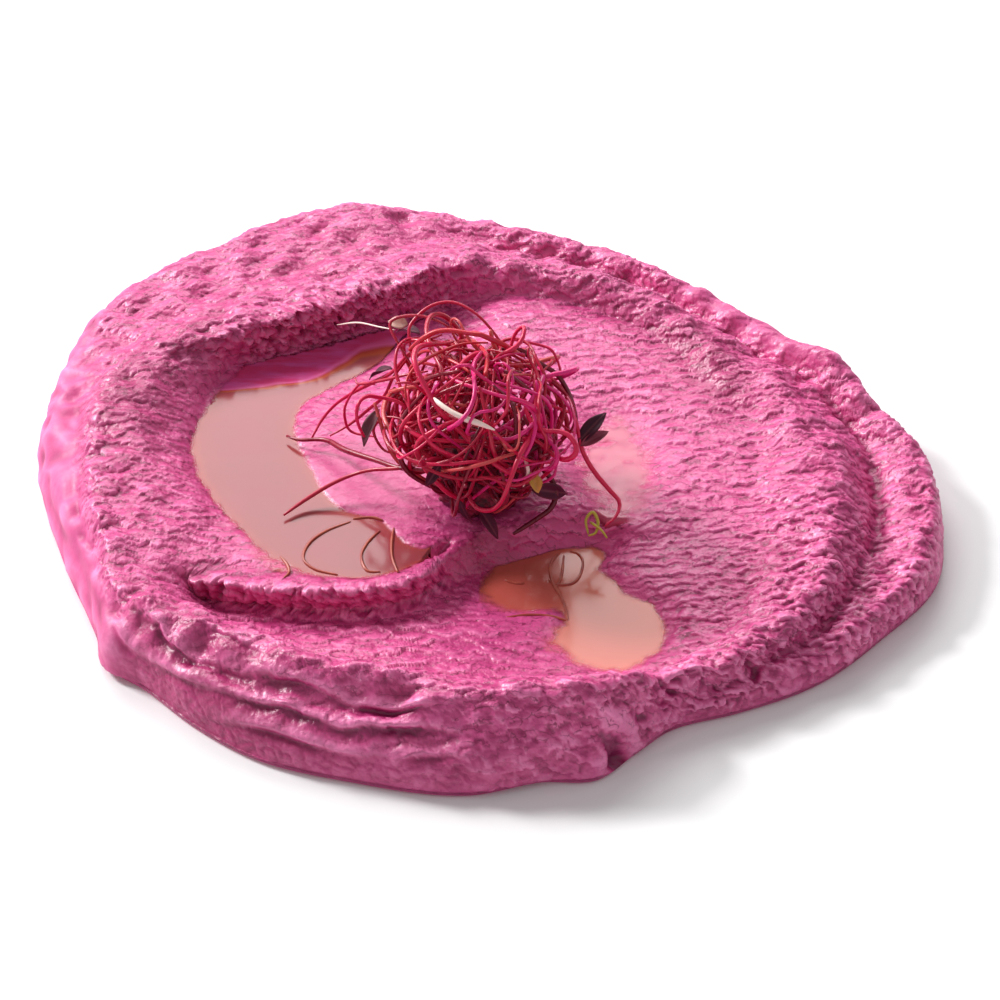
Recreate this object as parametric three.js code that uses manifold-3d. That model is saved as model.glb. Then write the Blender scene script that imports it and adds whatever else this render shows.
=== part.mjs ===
// Beetroot hummus swirled out on a flat surface, with pools of oil in its hollows and a nest of red sprouts on top.
// Millimetres, +Z up. The origin is under the middle of the spread, on the surface that it lies on.
// +X is to the right and +Y away from someone who looks at the ledge in the spread's front left.
import * as THREE from "three";
import { mergeVertices } from "three/addons/utils/BufferGeometryUtils.js";
import Module from "manifold-3d";

// Driving dimensions
const MOUND_HEIGHT = 13.4; // the middle of the spread, under the sprouts
const TROUGH_HEIGHT = 6.4; // the swirl's low track along the front
const LEFT_OIL_LEVEL = 12.5;
const FRONT_OIL_LEVEL = 6;
const RIGHT_OIL_LEVEL = 12.4;
const LEFT_POOL_DEPTH = 3.2;
const CLEARANCE = 0.35; // between touching pieces
const SIDE_TUCK = 1; // how far the edge rolls under, down to the surface
const LOWEST_EDGE = 1.2; // the height of the outermost ring
const MOUND_FLAT_RADIUS = 18;
const NARROWEST = { side: 1.8, rim: 4.5, ridges: 2, wall: 1.4, step: 0.8 }; // least widths of the swirl's strips
const CURVES = { wall: 2.2, side: 2.2, sideRound: 0.6, groove: 1.6, poolBed: 3 }; // powers that round each profile
const SEGMENTS = 100; // round the spread
const RINGS = { mound: 3, pool: 3, lip: 2, face: 2, floor: 3, wall: 4, groove: 3, shoulder: 2, side: 5 };

// The swirl, in polar stations round its own middle. Degrees run from +X towards +Y, and the rest is in millimetres.
const OUTLINE = [ // degrees, radius
  [0, 101], [12, 93], [23, 86.5], [34, 83.5], [46, 79.5], [60, 79], [74, 80], [86, 84], [97, 88.5], [110, 95],
  [122, 98.5], [134, 100.5], [145, 105], [152, 108.5], [162, 106], [173, 103.5], [181, 100.5], [191, 97], [204, 95.5],
  [211, 96.5], [217, 98.5], [223, 96.5], [232, 97], [242, 97.5], [254, 96], [268, 96], [277, 93], [284, 94.5],
  [290, 90], [297, 86.5], [306, 89.5], [318, 95], [330, 98.8], [341, 104], [350, 103.5],
];
const INNER_CREST = [ // degrees, radius, height
  [9, 70, 18], [22, 61.5, 19], [36, 60.5, 20], [57, 59, 22], [80, 57, 23.5], [97, 58.5, 24], [112, 57, 23.5],
  [126, 58.5, 23], [139, 62, 23], [150, 68.5, 22.5], [160, 79, 21.5], [170, 85, 21], [185, 86, 19], [202, 88, 17.5],
  [214, 91, 16], [223, 86, 17], [232, 82, 17.5], [246, 83, 18], [261, 81, 18.5], [272, 84, 19.5], [284, 85, 19],
  [291, 83.5, 15.5], [299, 82.5, 11.5], [311, 86, 12.5], [325, 86, 15], [337, 82, 16], [350, 75, 17],
];
const OUTER_CREST = [ // degrees, radius, height
  [0, 96, 12.5], [11, 86, 16.5], [17, 84, 20], [26, 76, 18.5], [42, 72, 18.5], [58, 72, 19.5], [83, 73.5, 20.5],
  [95, 79, 20.5], [104, 84, 21], [112, 88, 22.6], [120, 90, 22], [130, 91.5, 21], [139, 95.5, 19.8], [151, 99.5, 17.5],
  [163, 98.5, 14], [180, 93.5, 13], [203, 92, 12], [214, 95, 12], [224, 91.5, 12.5], [240, 91.5, 11.5], [257, 90.5, 11],
  [283, 91, 10.5], [292, 87, 8], [301, 85.5, 6.5], [314, 90, 7.5], [328, 98, 9], [345, 99, 10.5],
];
const GROOVE = [ // degrees, place between the crests from 0 to 1, depth under the line between them
  [0, 0.6, 5], [12, 0.7, 5], [28, 0.72, 4.6], [48, 0.7, 4.4], [70, 0.74, 4], [88, 0.78, 3.8], [102, 0.6, 2],
  [130, 0.5, 1.6], [150, 0.5, 2], [170, 0.5, 0.6], [200, 0.5, 0], [250, 0.5, 0], [292, 0.5, 0], [308, 0.5, 1.2],
  [319, 0.46, 3.6], [333, 0.4, 5], [347, 0.55, 5.4],
];
const WALL_FOOT = [ // degrees, radius, height
  [9, 60, 15], [22, 54.5, 15.5], [36, 54.5, 16], [57, 53.5, 17], [80, 52.5, 17.5], [92, 54, 15], [102, 56, 11.5],
  [113, 55, 11], [128, 56.5, 11], [139, 60, 11], [150, 65.5, 11], [160, 66.5, 11.6], [172, 66, 12.2], [186, 65, 12.4],
  [197, 63, 12.8], [205, 66, 13.4], [212, 78, 14], [220, 77, 8], [232, 75, 7], [250, 75, 6.6], [270, 75, 6.6],
  [286, 76, 6.4], [300, 76, 6.8], [313, 75, 9], [327, 70, 11.5], [345, 62, 13],
];
const LEDGE = [ // degrees, radius of its lip, width of its face
  [0, 46, 6], [50, 40, 6], [92, 49, 2], [106, 54.5, 0.6], [130, 56.5, 0.6], [150, 64, 0.6], [175, 67, 0.8],
  [195, 64, 1.5], [208, 68, 2], [214, 75, 2], [221, 67.5, 2.2], [229, 60.5, 3], [235, 56, 3.4], [243, 50.5, 3.6],
  [252, 43.5, 4], [259, 33, 6], [272, 23, 7], [290, 20.5, 8], [306, 22.5, 9], [320, 35, 11], [330, 44, 10], [342, 47, 10],
];
const LEDGE_START = 212.5; // degrees: the front trough opens here, and closes over the second pair
const LEDGE_OPENS_OVER = 4;
const LEDGE_END = 288;
const LEDGE_CLOSES_OVER = 58;
const POOL_BAND = [ // the left pool's crescent: degrees, inner edge, outer edge
  [0, 26, 32], [60, 26, 32], [92, 40, 46], [106, 52, 54], [112, 48, 54], [119, 44, 54.5], [127, 40.5, 55.5],
  [137, 40, 58.5], [147, 41.5, 62.5], [157, 44, 64.5], [167, 44, 65.5], [176, 42, 66.5], [186, 39.5, 65],
  [196, 38.5, 62.5], [208, 38, 60], [218, 36.5, 59], [227, 33.5, 57], [235, 34.5, 53.3], [243, 36.5, 48],
  [250, 36, 41], [258, 30, 34], [275, 20, 25], [310, 22, 27],
];
const POOL_FROM = 103; // degrees
const POOL_TO = 252;
const POOL_FADES_OVER = 7;
// The upright prisms that hold each pool: plan corners in degrees and radius
const LEFT_POOL = [[104, 58], [112, 60], [128, 66], [140, 70], [152, 74], [166, 72], [180, 70], [195, 68], [208, 64],
  [222, 62], [232, 56], [243, 50], [251, 42.5], [252, 34], [235, 26], [190, 30], [150, 32], [122, 32], [104, 46]];
const FRONT_POOL = [[271, 26], [272, 44], [279, 49], [284.5, 53], [286, 60], [287, 67], [292, 73], [299, 75],
  [306, 73], [309, 64], [311, 54], [315, 48], [320, 43], [318, 34], [309, 28], [295, 24], [282, 23]];
const RIGHT_POOL = [[320, 24], [317, 36], [325, 42], [338, 42], [0, 43], [18, 43], [32, 40], [40, 33], [38, 22],
  [0, 17], [335, 18]];
const DIPS = [ // hollows for the other two pools: middle, half-lengths and depth
  { x: 15.5, y: -36.5, halfX: 13, halfY: 9, depth: 3 },
  { x: 27, y: -52, halfX: 9.5, halfY: 13, depth: 3.2 },
  { x: 29.5, y: -2.5, halfX: 9.5, halfY: 20, depth: 2.8 },
];
const FOLDS = [ // overlapping layers on the front's outer face: degrees, radius
  { line: [[219, 93.5], [228, 89.5], [237, 88.5], [247, 86.5], [256, 84]], height: 2, width: 2.6 },
  { line: [[224, 95], [234, 94.5], [243, 92.5], [250, 92], [257, 91.5]], height: 2.2, width: 2.4 },
  { line: [[262, 90], [270, 91], [279, 90.5], [287, 89], [292, 86.5]], height: 1.6, width: 2.6 },
];
const WALL_LEAN = { middle: 130, halfSpan: 34, overhang: 2 }; // the rear left wall hangs over the oil
const LUMP_HEIGHT = 0.75;
const LUMPS = [ // waves that roughen the surface: length, direction in degrees, phase
  [13, 20, 0.3], [9.5, 75, 1.9], [8, 130, 4.1], [11, 165, 2.6], [7.2, 40, 5.2], [6.6, 105, 3.3],
];

// The nest of sprouts
const NEST = { x: -1, y: -14.5, z: 32, halfX: 22, halfY: 21, halfZ: 21 };
const CORE_SHARE = 0.76; // the dense middle, as a share of the nest
const CORE_SINKS = 4; // it hangs down to rest on the mound
const CORE_LUMP = 0.17;
const STEM_RADIUS = 0.65;
const STEM_SIDES = 5;
const STEM_STEPS = 12;
const STRAY_STEPS = 10;
const LOOSE_STEMS = 21;
const ARCH = [-1.25, -0.8, -0.35, 0.15, 0.6, 1.05, 1.4]; // where a stem's control points sit along its arch
const LEAF_THICKNESS = 0.8;
const LEAF_ROWS = 6;
const SEED = 11;

const toRadians = THREE.MathUtils.degToRad;
const { clamp, lerp, smoothstep } = THREE.MathUtils;

// A smooth closed run of values round the spread, through stations of [degrees, value, value ...]
function around(stations) {
  const count = stations.length;
  const at = (i) => {
    const turn = Math.floor(i / count);
    const [degrees, ...values] = stations[i - turn * count];
    return { degrees: degrees + 360 * turn, values };
  };
  return (degrees) => {
    const wrapped = ((degrees % 360) + 360) % 360;
    let i = -1;
    while (at(i + 1).degrees <= wrapped) i += 1;
    const [before, from, to, after] = [at(i - 1), at(i), at(i + 1), at(i + 2)];
    const span = to.degrees - from.degrees;
    const t = (wrapped - from.degrees) / span;
    return from.values.map((value, k) => {
      const slopeFrom = (to.values[k] - before.values[k]) / (to.degrees - before.degrees) * span;
      const slopeTo = (after.values[k] - value) / (after.degrees - from.degrees) * span;
      const rise = to.values[k] - value;
      return value + t * (slopeFrom + t * (3 * rise - 2 * slopeFrom - slopeTo + t * (slopeFrom + slopeTo - 2 * rise)));
    });
  };
}

// A value on an open line of [degrees, radius] pairs, and how strongly it is there, with faded ends
function alongLine(line, degrees) {
  const fade = 5;
  const first = line[0][0];
  const last = line[line.length - 1][0];
  const strength = smoothstep(degrees, first - fade, first) * (1 - smoothstep(degrees, last, last + fade));
  const i = clamp(line.filter((station) => station[0] <= degrees).length, 1, line.length - 1);
  const [fromDegrees, fromRadius] = line[i - 1];
  const [toDegrees, toRadius] = line[i];
  const t = clamp((degrees - fromDegrees) / (toDegrees - fromDegrees), 0, 1);
  return { radius: lerp(fromRadius, toRadius, t), strength };
}

const outline = around(OUTLINE);
const innerCrest = around(INNER_CREST);
const outerCrest = around(OUTER_CREST);
const groove = around(GROOVE);
const wallFoot = around(WALL_FOOT);
const ledgeLine = around(LEDGE);
const poolBand = around(POOL_BAND);

// What the swirl measures at one angle
function sectionAt(degrees) {
  const [edge] = outline(degrees);
  const [crestRadius, crestHeight] = innerCrest(degrees);
  const [shoulderRadius, shoulderHeight] = outerCrest(degrees);
  const [groovePlace, grooveDepth] = groove(degrees);
  const [footRadius, footHeight] = wallFoot(degrees);
  const [ledgeRadius, ledgeWidth] = ledgeLine(degrees);
  const [poolInner, poolOuter] = poolBand(degrees);
  const crest = Math.min(crestRadius, edge - NARROWEST.rim);
  const shoulder = clamp(shoulderRadius, crest + NARROWEST.ridges, edge - NARROWEST.side);
  const opens = smoothstep(degrees, LEDGE_START, LEDGE_START + LEDGE_OPENS_OVER);
  const closes = 1 - smoothstep(degrees, LEDGE_END, LEDGE_END + LEDGE_CLOSES_OVER);
  const poolOpens = smoothstep(degrees, POOL_FROM - POOL_FADES_OVER, POOL_FROM);
  const poolCloses = 1 - smoothstep(degrees, POOL_TO, POOL_TO + POOL_FADES_OVER);
  const foot = Math.min(footRadius, crest - NARROWEST.wall);
  const ledge = clamp(ledgeRadius, poolOuter + NARROWEST.step, foot - ledgeWidth - NARROWEST.step);
  return {
    degrees, edge, crest, crestHeight, shoulder, shoulderHeight, groovePlace, grooveDepth,
    foot, footHeight, ledge, ledgeWidth, ledgeStrength: opens * closes,
    poolInner, poolOuter, poolStrength: poolOpens * poolCloses,
  };
}

// The swirl's floor: the mound and the oil's hollow inside the ledge, the front trough outside it
function floorHeight(section, radius, x, y) {
  const { poolInner, poolOuter, poolStrength, foot, footHeight, ledge, ledgeWidth, ledgeStrength } = section;
  const open = lerp(MOUND_HEIGHT, footHeight, smoothstep(radius, MOUND_FLAT_RADIUS, foot));
  const shore = LEFT_OIL_LEVEL - CLEARANCE / 2;
  const across = clamp((radius - poolInner) / Math.max(poolOuter - poolInner, 1), 0, 1);
  let pooled = shore - LEFT_POOL_DEPTH * (1 - Math.abs(2 * across - 1) ** CURVES.poolBed);
  if (radius < poolInner) pooled = lerp(MOUND_HEIGHT, shore, smoothstep(radius, MOUND_FLAT_RADIUS, poolInner) ** 2);
  if (radius > poolOuter) pooled = lerp(shore, Math.max(footHeight, shore), (radius - poolOuter) / (foot - poolOuter));
  const trough = lerp(TROUGH_HEIGHT, footHeight, smoothstep(radius, ledge + ledgeWidth, foot));
  const plateau = lerp(open, pooled, poolStrength);
  let height = lerp(plateau, trough, ledgeStrength * smoothstep(radius, ledge, ledge + ledgeWidth));
  for (const { x: midX, y: midY, halfX, halfY, depth } of DIPS) {
    const away = ((x - midX) / halfX) ** 2 + ((y - midY) / halfY) ** 2;
    height -= depth * Math.exp(-away * away);
  }
  return height;
}

// The spread's height at a place, from the floor, over both crests, to the edge
function smoothHeight(section, radius, x, y) {
  const { edge, crest, crestHeight, shoulder, shoulderHeight, groovePlace, grooveDepth, foot } = section;
  if (radius < foot) return floorHeight(section, radius, x, y);
  if (radius < crest) {
    const t = (radius - foot) / (crest - foot);
    return lerp(floorHeight(section, foot, x, y), crestHeight, 1 - (1 - t) ** CURVES.wall);
  }
  if (radius < shoulder) {
    const t = (radius - crest) / (shoulder - crest);
    const near = t < groovePlace ? t / groovePlace : (1 - t) / (1 - groovePlace);
    return lerp(crestHeight, shoulderHeight, smoothstep(t, 0, 1)) - grooveDepth * near ** CURVES.groove;
  }
  const t = (radius - shoulder) / (edge - shoulder);
  return shoulderHeight * Math.max(0, 1 - t ** CURVES.side) ** CURVES.sideRound;
}

// Each fold is a step: the layer inside its line is raised, and the one outside it is let down
function foldsAt(section, radius) {
  let raised = 0;
  for (const { line, height, width } of FOLDS) {
    const fold = alongLine(line, section.degrees);
    const t = (radius - fold.radius) / width;
    raised -= fold.strength * height * t * Math.exp(0.5 - t * t / 2);
  }
  return raised;
}

function lumpsAt(x, y) {
  let sum = 0;
  for (const [length, degrees, phase] of LUMPS) {
    const along = x * Math.cos(toRadians(degrees)) + y * Math.sin(toRadians(degrees));
    sum += Math.sin(2 * Math.PI * along / length + phase + 1.3 * Math.sin((x - y) / 9 + phase));
  }
  return LUMP_HEIGHT * sum / Math.sqrt(LUMPS.length);
}

function surfacePoint(degrees, radius, section) {
  const [x, y] = [radius * Math.cos(toRadians(degrees)), radius * Math.sin(toRadians(degrees))];
  const { foot, crest, shoulder, edge } = section;
  const rough = smoothstep(radius, foot - 4, crest) * (1 - smoothstep(radius, shoulder, edge - 0.5));
  const height = smoothHeight(section, radius, x, y) + foldsAt(section, radius) + rough * lumpsAt(x, y);
  const { middle, halfSpan, overhang } = WALL_LEAN;
  const onWall = smoothstep(radius, foot, crest) * (1 - smoothstep(radius, crest, shoulder));
  const lean = overhang * onWall * Math.max(0, 1 - ((degrees - middle) / halfSpan) ** 2);
  const share = (radius - lean) / Math.max(radius, 1e-6);
  return [x * share, y * share, Math.max(height, LOWEST_EDGE)];
}

// The rings' radii at one angle, so that edges of the mesh follow the ledge, the wall's foot, the crests and the groove
function ringRadii(section) {
  const { poolInner, poolOuter, ledge, ledgeWidth, foot, crest, shoulder, groovePlace, edge } = section;
  const groove = lerp(crest, shoulder, groovePlace);
  const stops = [0, poolInner, poolOuter, ledge, ledge + ledgeWidth, foot, crest, groove, shoulder, edge];
  const radii = [];
  const SIDE = stops.length - 2;
  Object.values(RINGS).forEach((count, k) => {
    for (let i = 1; i <= count; i += 1) {
      const t = k === SIDE ? Math.sin(Math.PI / 2 * i / count) : i / count;
      radii.push(lerp(stops[k], stops[k + 1], t));
    }
  });
  return radii;
}

// The spread as one closed mesh, lifted by a little where it is used to cut what lies on it
function spreadGeometry(lift = 0) {
  const rows = Object.values(RINGS).reduce((sum, count) => sum + count, 0);
  const positions = [0, 0, MOUND_HEIGHT + lift, 0, 0, 0];
  for (let s = 0; s < SEGMENTS; s += 1) {
    const degrees = 360 * s / SEGMENTS;
    const section = sectionAt(degrees);
    const radii = ringRadii(section);
    radii.slice(0, -1).forEach((radius) => {
      const [x, y, z] = surfacePoint(degrees, radius, section);
      positions.push(x, y, z + lift);
    });
    const base = section.edge - SIDE_TUCK;
    positions.push(base * Math.cos(toRadians(degrees)), base * Math.sin(toRadians(degrees)), 0);
  }
  const vertex = (s, row) => 2 + (s % SEGMENTS) * rows + row;
  const index = [];
  for (let s = 0; s < SEGMENTS; s += 1) {
    index.push(0, vertex(s, 0), vertex(s + 1, 0));
    for (let row = 0; row + 1 < rows; row += 1) {
      index.push(vertex(s, row), vertex(s, row + 1), vertex(s + 1, row + 1));
      index.push(vertex(s, row), vertex(s + 1, row + 1), vertex(s + 1, row));
    }
    index.push(1, vertex(s + 1, rows - 1), vertex(s, rows - 1));
  }
  const geometry = new THREE.BufferGeometry();
  geometry.setAttribute("position", new THREE.Float32BufferAttribute(positions, 3));
  geometry.setIndex(index);
  return geometry;
}

const wasm = await Module();
wasm.setup();

function solidFrom(geometry) {
  const bare = geometry.index ? geometry.toNonIndexed() : geometry.clone();
  bare.deleteAttribute("normal");
  bare.deleteAttribute("uv");
  const merged = mergeVertices(bare, 1e-3);
  const vertProperties = merged.attributes.position.array;
  return new wasm.Manifold(new wasm.Mesh({ numProp: 3, vertProperties, triVerts: new Uint32Array(merged.index.array) }));
}

function geometryFrom(solid) {
  const mesh = solid.getMesh();
  const geometry = new THREE.BufferGeometry();
  geometry.setAttribute("position", new THREE.Float32BufferAttribute(mesh.vertProperties, 3));
  geometry.setIndex(new THREE.BufferAttribute(mesh.triVerts, 1));
  return geometry;
}

function largestPiece(solid) {
  return solid.decompose().sort((a, b) => b.volume() - a.volume())[0];
}

// Oil that fills the spread's hollow up to a level, inside an upright prism over the given plan corners
function oilSolid(level, corners, spreadLifted) {
  const shape = new THREE.Shape(corners.map(([degrees, radius]) => new THREE.Vector2(
    radius * Math.cos(toRadians(degrees)), radius * Math.sin(toRadians(degrees)),
  )));
  const prism = new THREE.ExtrudeGeometry(shape, { depth: level - 1, bevelEnabled: false }).translate(0, 0, 1);
  return largestPiece(solidFrom(prism).subtract(spreadLifted));
}

// Sprouts

function seededRandom(seed) {
  let state = seed;
  return () => {
    state = (state + 0x6d2b79f5) | 0;
    let t = Math.imul(state ^ (state >>> 15), 1 | state);
    t = (t + Math.imul(t ^ (t >>> 7), 61 | t)) ^ t;
    return ((t ^ (t >>> 14)) >>> 0) / 4294967296;
  };
}

// From a place in a ball of radius 1 to the same place in the nest
function inNest({ x, y, z }) {
  return new THREE.Vector3(NEST.x + NEST.halfX * x, NEST.y + NEST.halfY * y, NEST.z + NEST.halfZ * z);
}

function coreGeometry() {
  const core = new THREE.IcosahedronGeometry(1, 4);
  const place = core.attributes.position;
  for (let i = 0; i < place.count; i += 1) {
    const unit = new THREE.Vector3().fromBufferAttribute(place, i).normalize();
    const bulge = Math.sin(7 * unit.x + 2 * unit.z) * Math.sin(6 * unit.y + 1) * Math.sin(5 * unit.z + 4 * unit.x);
    const { x, y, z } = inNest(unit.multiplyScalar(CORE_SHARE * (1 + CORE_LUMP * bulge)));
    place.setXYZ(i, x, y, z - CORE_SINKS * (1 - unit.z / CORE_SHARE) / 2);
  }
  return core;
}

function stemGeometry(points, steps) {
  const section = new THREE.Shape();
  for (let i = 0; i < STEM_SIDES; i += 1) {
    const angle = 2 * Math.PI * i / STEM_SIDES;
    const [x, y] = [STEM_RADIUS * Math.cos(angle), STEM_RADIUS * Math.sin(angle)];
    if (i === 0) section.moveTo(x, y);
    else section.lineTo(x, y);
  }
  const path = new THREE.CatmullRomCurve3(points);
  return new THREE.ExtrudeGeometry(section, { steps, extrudePath: path, bevelEnabled: false });
}

// A stem that leaves the core, arches over the nest and goes back in
function arch(random) {
  const pole = new THREE.Vector3(random() - 0.5, random() - 0.5, random() - 0.35).normalize();
  const side = new THREE.Vector3(random() - 0.5, random() - 0.5, random() - 0.5).cross(pole).normalize();
  const reach = 0.84 + 0.22 * random();
  const spread = 0.75 + 0.5 * random();
  const points = ARCH.map((t, i, all) => {
    const end = i === 0 || i === all.length - 1;
    const wobble = 0.16 * (random() - 0.5);
    const direction = pole.clone().multiplyScalar(Math.cos(t * spread)).addScaledVector(side, Math.sin(t * spread));
    const twist = side.clone().cross(pole).multiplyScalar(wobble);
    return inNest(direction.add(twist).multiplyScalar(end ? CORE_SHARE * 0.8 : reach));
  });
  return stemGeometry(points, STEM_STEPS);
}

const STRAYS = [ // stems that reach out of the nest, in millimetres, from inside it to the tip
  [[-12, -17, 24], [-19, -18, 20.5], [-27, -18.5, 18], [-35, -22, 15.5], [-43, -27, 13.6]],
  [[-12, -14, 23], [-22, -12, 20.5], [-30, -7, 18.5], [-37, -2.5, 16.5], [-42, 1.5, 15]],
  [[-10, -8, 38], [-19, -7, 34.5], [-28, -8, 29], [-35, -9, 22.5], [-39, -4, 16]],
  [[-12, -10, 33], [-19, -12, 30], [-26, -10, 23.5], [-33, -7.5, 18.5], [-37, -4, 16]],
  [[12, -16, 35], [21, -19, 32.5], [25.5, -20, 27], [30, -20.5, 20], [32.5, -22.5, 15.8]],
  [[10, -19, 22], [16, -22, 19.5], [18, -25, 17.5], [13, -28.5, 15.6], [7.5, -30.5, 14.6]],
  [[-14, -4, 42], [-17, 0, 48], [-9, 3, 51.5], [1, 1, 52], [9, -4, 47], [12, -8, 41]],
  [[-8, 0, 44], [-14, 3, 46.5], [-20, 7, 46.5], [-22, 10, 42]],
];

// A seed leaf: a thin wavy blade from its stalk to its tip, both faces split alike
function leafGeometry({ at, along, up, length, width }) {
  const rows = LEAF_ROWS;
  const forward = new THREE.Vector3(...along).normalize();
  const across = new THREE.Vector3(...up).cross(forward).normalize();
  const normal = forward.clone().cross(across);
  const positions = [];
  const row = (t, side, face) => {
    const half = width / 2 * Math.max(0.14, Math.sin(Math.PI * t ** 0.8) ** 0.7);
    const lift = 0.12 * length * Math.sin(2.4 * t) + 0.1 * width * side * side + face * LEAF_THICKNESS / 2;
    const point = new THREE.Vector3(...at).addScaledVector(forward, t * length);
    point.addScaledVector(across, side * half).addScaledVector(normal, lift);
    positions.push(point.x, point.y, point.z);
  };
  for (const face of [1, -1]) {
    for (let i = 0; i <= rows; i += 1) [-1, 0, 1].forEach((side) => row(i / rows, side, face));
  }
  const corner = (face, i, j) => face * (rows + 1) * 3 + i * 3 + j;
  const index = [];
  const quad = (a, b, c, d) => index.push(a, b, c, a, c, d);
  for (let i = 0; i < rows; i += 1) {
    for (let j = 0; j < 2; j += 1) {
      quad(corner(0, i, j), corner(0, i + 1, j), corner(0, i + 1, j + 1), corner(0, i, j + 1));
      quad(corner(1, i, j), corner(1, i, j + 1), corner(1, i + 1, j + 1), corner(1, i + 1, j));
    }
    quad(corner(0, i, 0), corner(1, i, 0), corner(1, i + 1, 0), corner(0, i + 1, 0));
    quad(corner(0, i, 2), corner(0, i + 1, 2), corner(1, i + 1, 2), corner(1, i, 2));
  }
  for (let j = 0; j < 2; j += 1) {
    quad(corner(0, 0, j), corner(0, 0, j + 1), corner(1, 0, j + 1), corner(1, 0, j));
    quad(corner(0, rows, j), corner(1, rows, j), corner(1, rows, j + 1), corner(0, rows, j + 1));
  }
  const geometry = new THREE.BufferGeometry();
  geometry.setAttribute("position", new THREE.Float32BufferAttribute(positions, 3));
  geometry.setIndex(index);
  return geometry;
}

const LEAVES = [ // stalk end, direction, upper side, length and width
  { at: [19, -19, 30], along: [0.8, 0.1, 0.35], up: [0, -0.6, 1], length: 11, width: 4 },
  { at: [-17, -17, 30], along: [-0.6, -0.2, -0.6], up: [-0.3, -1, 0.4], length: 10, width: 4.5 },
  { at: [7, -25, 22], along: [0.7, -0.5, -0.35], up: [0, -0.7, 1], length: 11, width: 6 },
  { at: [-2, -26, 21], along: [-0.1, -0.75, -0.5], up: [0, -0.6, 1], length: 9, width: 5.5 },
];

function nestSolid(spreadLifted) {
  const random = seededRandom(SEED);
  const stems = Array.from({ length: LOOSE_STEMS }, () => arch(random));
  const strays = STRAYS.map((points) => stemGeometry(points.map((p) => new THREE.Vector3(...p)), STRAY_STEPS));
  const leaves = LEAVES.map(leafGeometry);
  const whole = [...stems, ...strays, ...leaves].reduce(
    (sum, geometry) => sum.add(solidFrom(geometry)), solidFrom(coreGeometry()),
  );
  return largestPiece(whole.subtract(spreadLifted));
}

// Materials

const hummusFinish = new THREE.MeshStandardMaterial({ color: 0xd4588f, roughness: 0.55 });
const oilFinish = new THREE.MeshStandardMaterial({ color: 0xd9a39c, roughness: 0.05 });
const sproutFinish = new THREE.MeshStandardMaterial({ color: 0x9c1a45, roughness: 0.4 });

function namedMesh(name, geometry, finish) {
  const mesh = new THREE.Mesh(geometry, finish);
  mesh.name = name;
  return mesh;
}

const lifted = solidFrom(spreadGeometry(CLEARANCE));
const hummus = new THREE.Group();
hummus.add(namedMesh("hummus", spreadGeometry(), hummusFinish));
hummus.add(namedMesh("oil_left", geometryFrom(oilSolid(LEFT_OIL_LEVEL, LEFT_POOL, lifted)), oilFinish));
hummus.add(namedMesh("oil_right", geometryFrom(oilSolid(RIGHT_OIL_LEVEL, RIGHT_POOL, lifted)), oilFinish));
hummus.add(namedMesh("oil_front", geometryFrom(oilSolid(FRONT_OIL_LEVEL, FRONT_POOL, lifted)), oilFinish));
hummus.add(namedMesh("sprouts", geometryFrom(nestSolid(lifted)), sproutFinish));

// The stations turn round the swirl's own middle, so the group is moved to put the origin under the box's middle
const middle = new THREE.Box3().setFromObject(hummus.getObjectByName("hummus")).getCenter(new THREE.Vector3());
hummus.position.set(-middle.x, -middle.y, 0);

export default hummus;
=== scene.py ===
import itertools
import math
from types import SimpleNamespace

import bpy
import numpy as np
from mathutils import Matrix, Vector
from mathutils.bvhtree import BVHTree


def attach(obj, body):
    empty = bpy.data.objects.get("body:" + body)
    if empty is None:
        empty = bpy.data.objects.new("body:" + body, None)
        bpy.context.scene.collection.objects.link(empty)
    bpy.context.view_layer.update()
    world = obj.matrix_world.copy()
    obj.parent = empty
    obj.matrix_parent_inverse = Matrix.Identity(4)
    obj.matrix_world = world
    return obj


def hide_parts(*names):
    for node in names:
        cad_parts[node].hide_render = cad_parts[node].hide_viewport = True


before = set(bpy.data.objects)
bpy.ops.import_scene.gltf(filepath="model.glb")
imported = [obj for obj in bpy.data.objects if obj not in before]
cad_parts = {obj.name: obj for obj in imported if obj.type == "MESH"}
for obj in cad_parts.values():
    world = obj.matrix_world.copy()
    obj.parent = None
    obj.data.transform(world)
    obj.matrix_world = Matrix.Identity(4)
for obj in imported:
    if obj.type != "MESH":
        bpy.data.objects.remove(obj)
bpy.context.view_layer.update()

# Beetroot hummus swirled out on a flat surface, with oil in its hollows and a nest of red sprouts on top.
# Lengths are in millimetres up to the point where a mesh is made. The swirl's stations are those of the
# solids; the front pool's corners and the last four dips are the scene's own.
MM = 0.001
SWIRL_MIDDLE = np.array([0.165, 3.275, 0.0])  # what the stations turn round, from the spread's middle
rng = np.random.default_rng(20)

MOUND_HEIGHT = 13.4
TROUGH_HEIGHT = 6.4
LEFT_OIL_LEVEL = 12.5
FRONT_OIL_LEVEL = 6.0
RIGHT_OIL_LEVEL = 12.4
LEFT_POOL_DEPTH = 3.2
CLEARANCE = 0.35
SIDE_TUCK = 1.0
LOWEST_EDGE = 1.2
MOUND_FLAT_RADIUS = 18
OUTLINE = [  # degrees, radius
    [0, 101], [12, 93], [23, 86.5], [34, 83.5], [46, 79.5], [60, 79], [74, 80], [86, 84], [97, 88.5],
    [110, 95], [122, 98.5], [134, 100.5], [145, 105], [152, 108.5], [162, 106], [173, 103.5], [181, 100.5],
    [191, 97], [204, 95.5], [211, 96.5], [217, 98.5], [223, 96.5], [232, 97], [242, 97.5], [254, 96],
    [268, 96], [277, 93], [284, 94.5], [290, 90], [297, 86.5], [306, 89.5], [318, 95], [330, 98.8],
    [341, 104], [350, 103.5],
]
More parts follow.
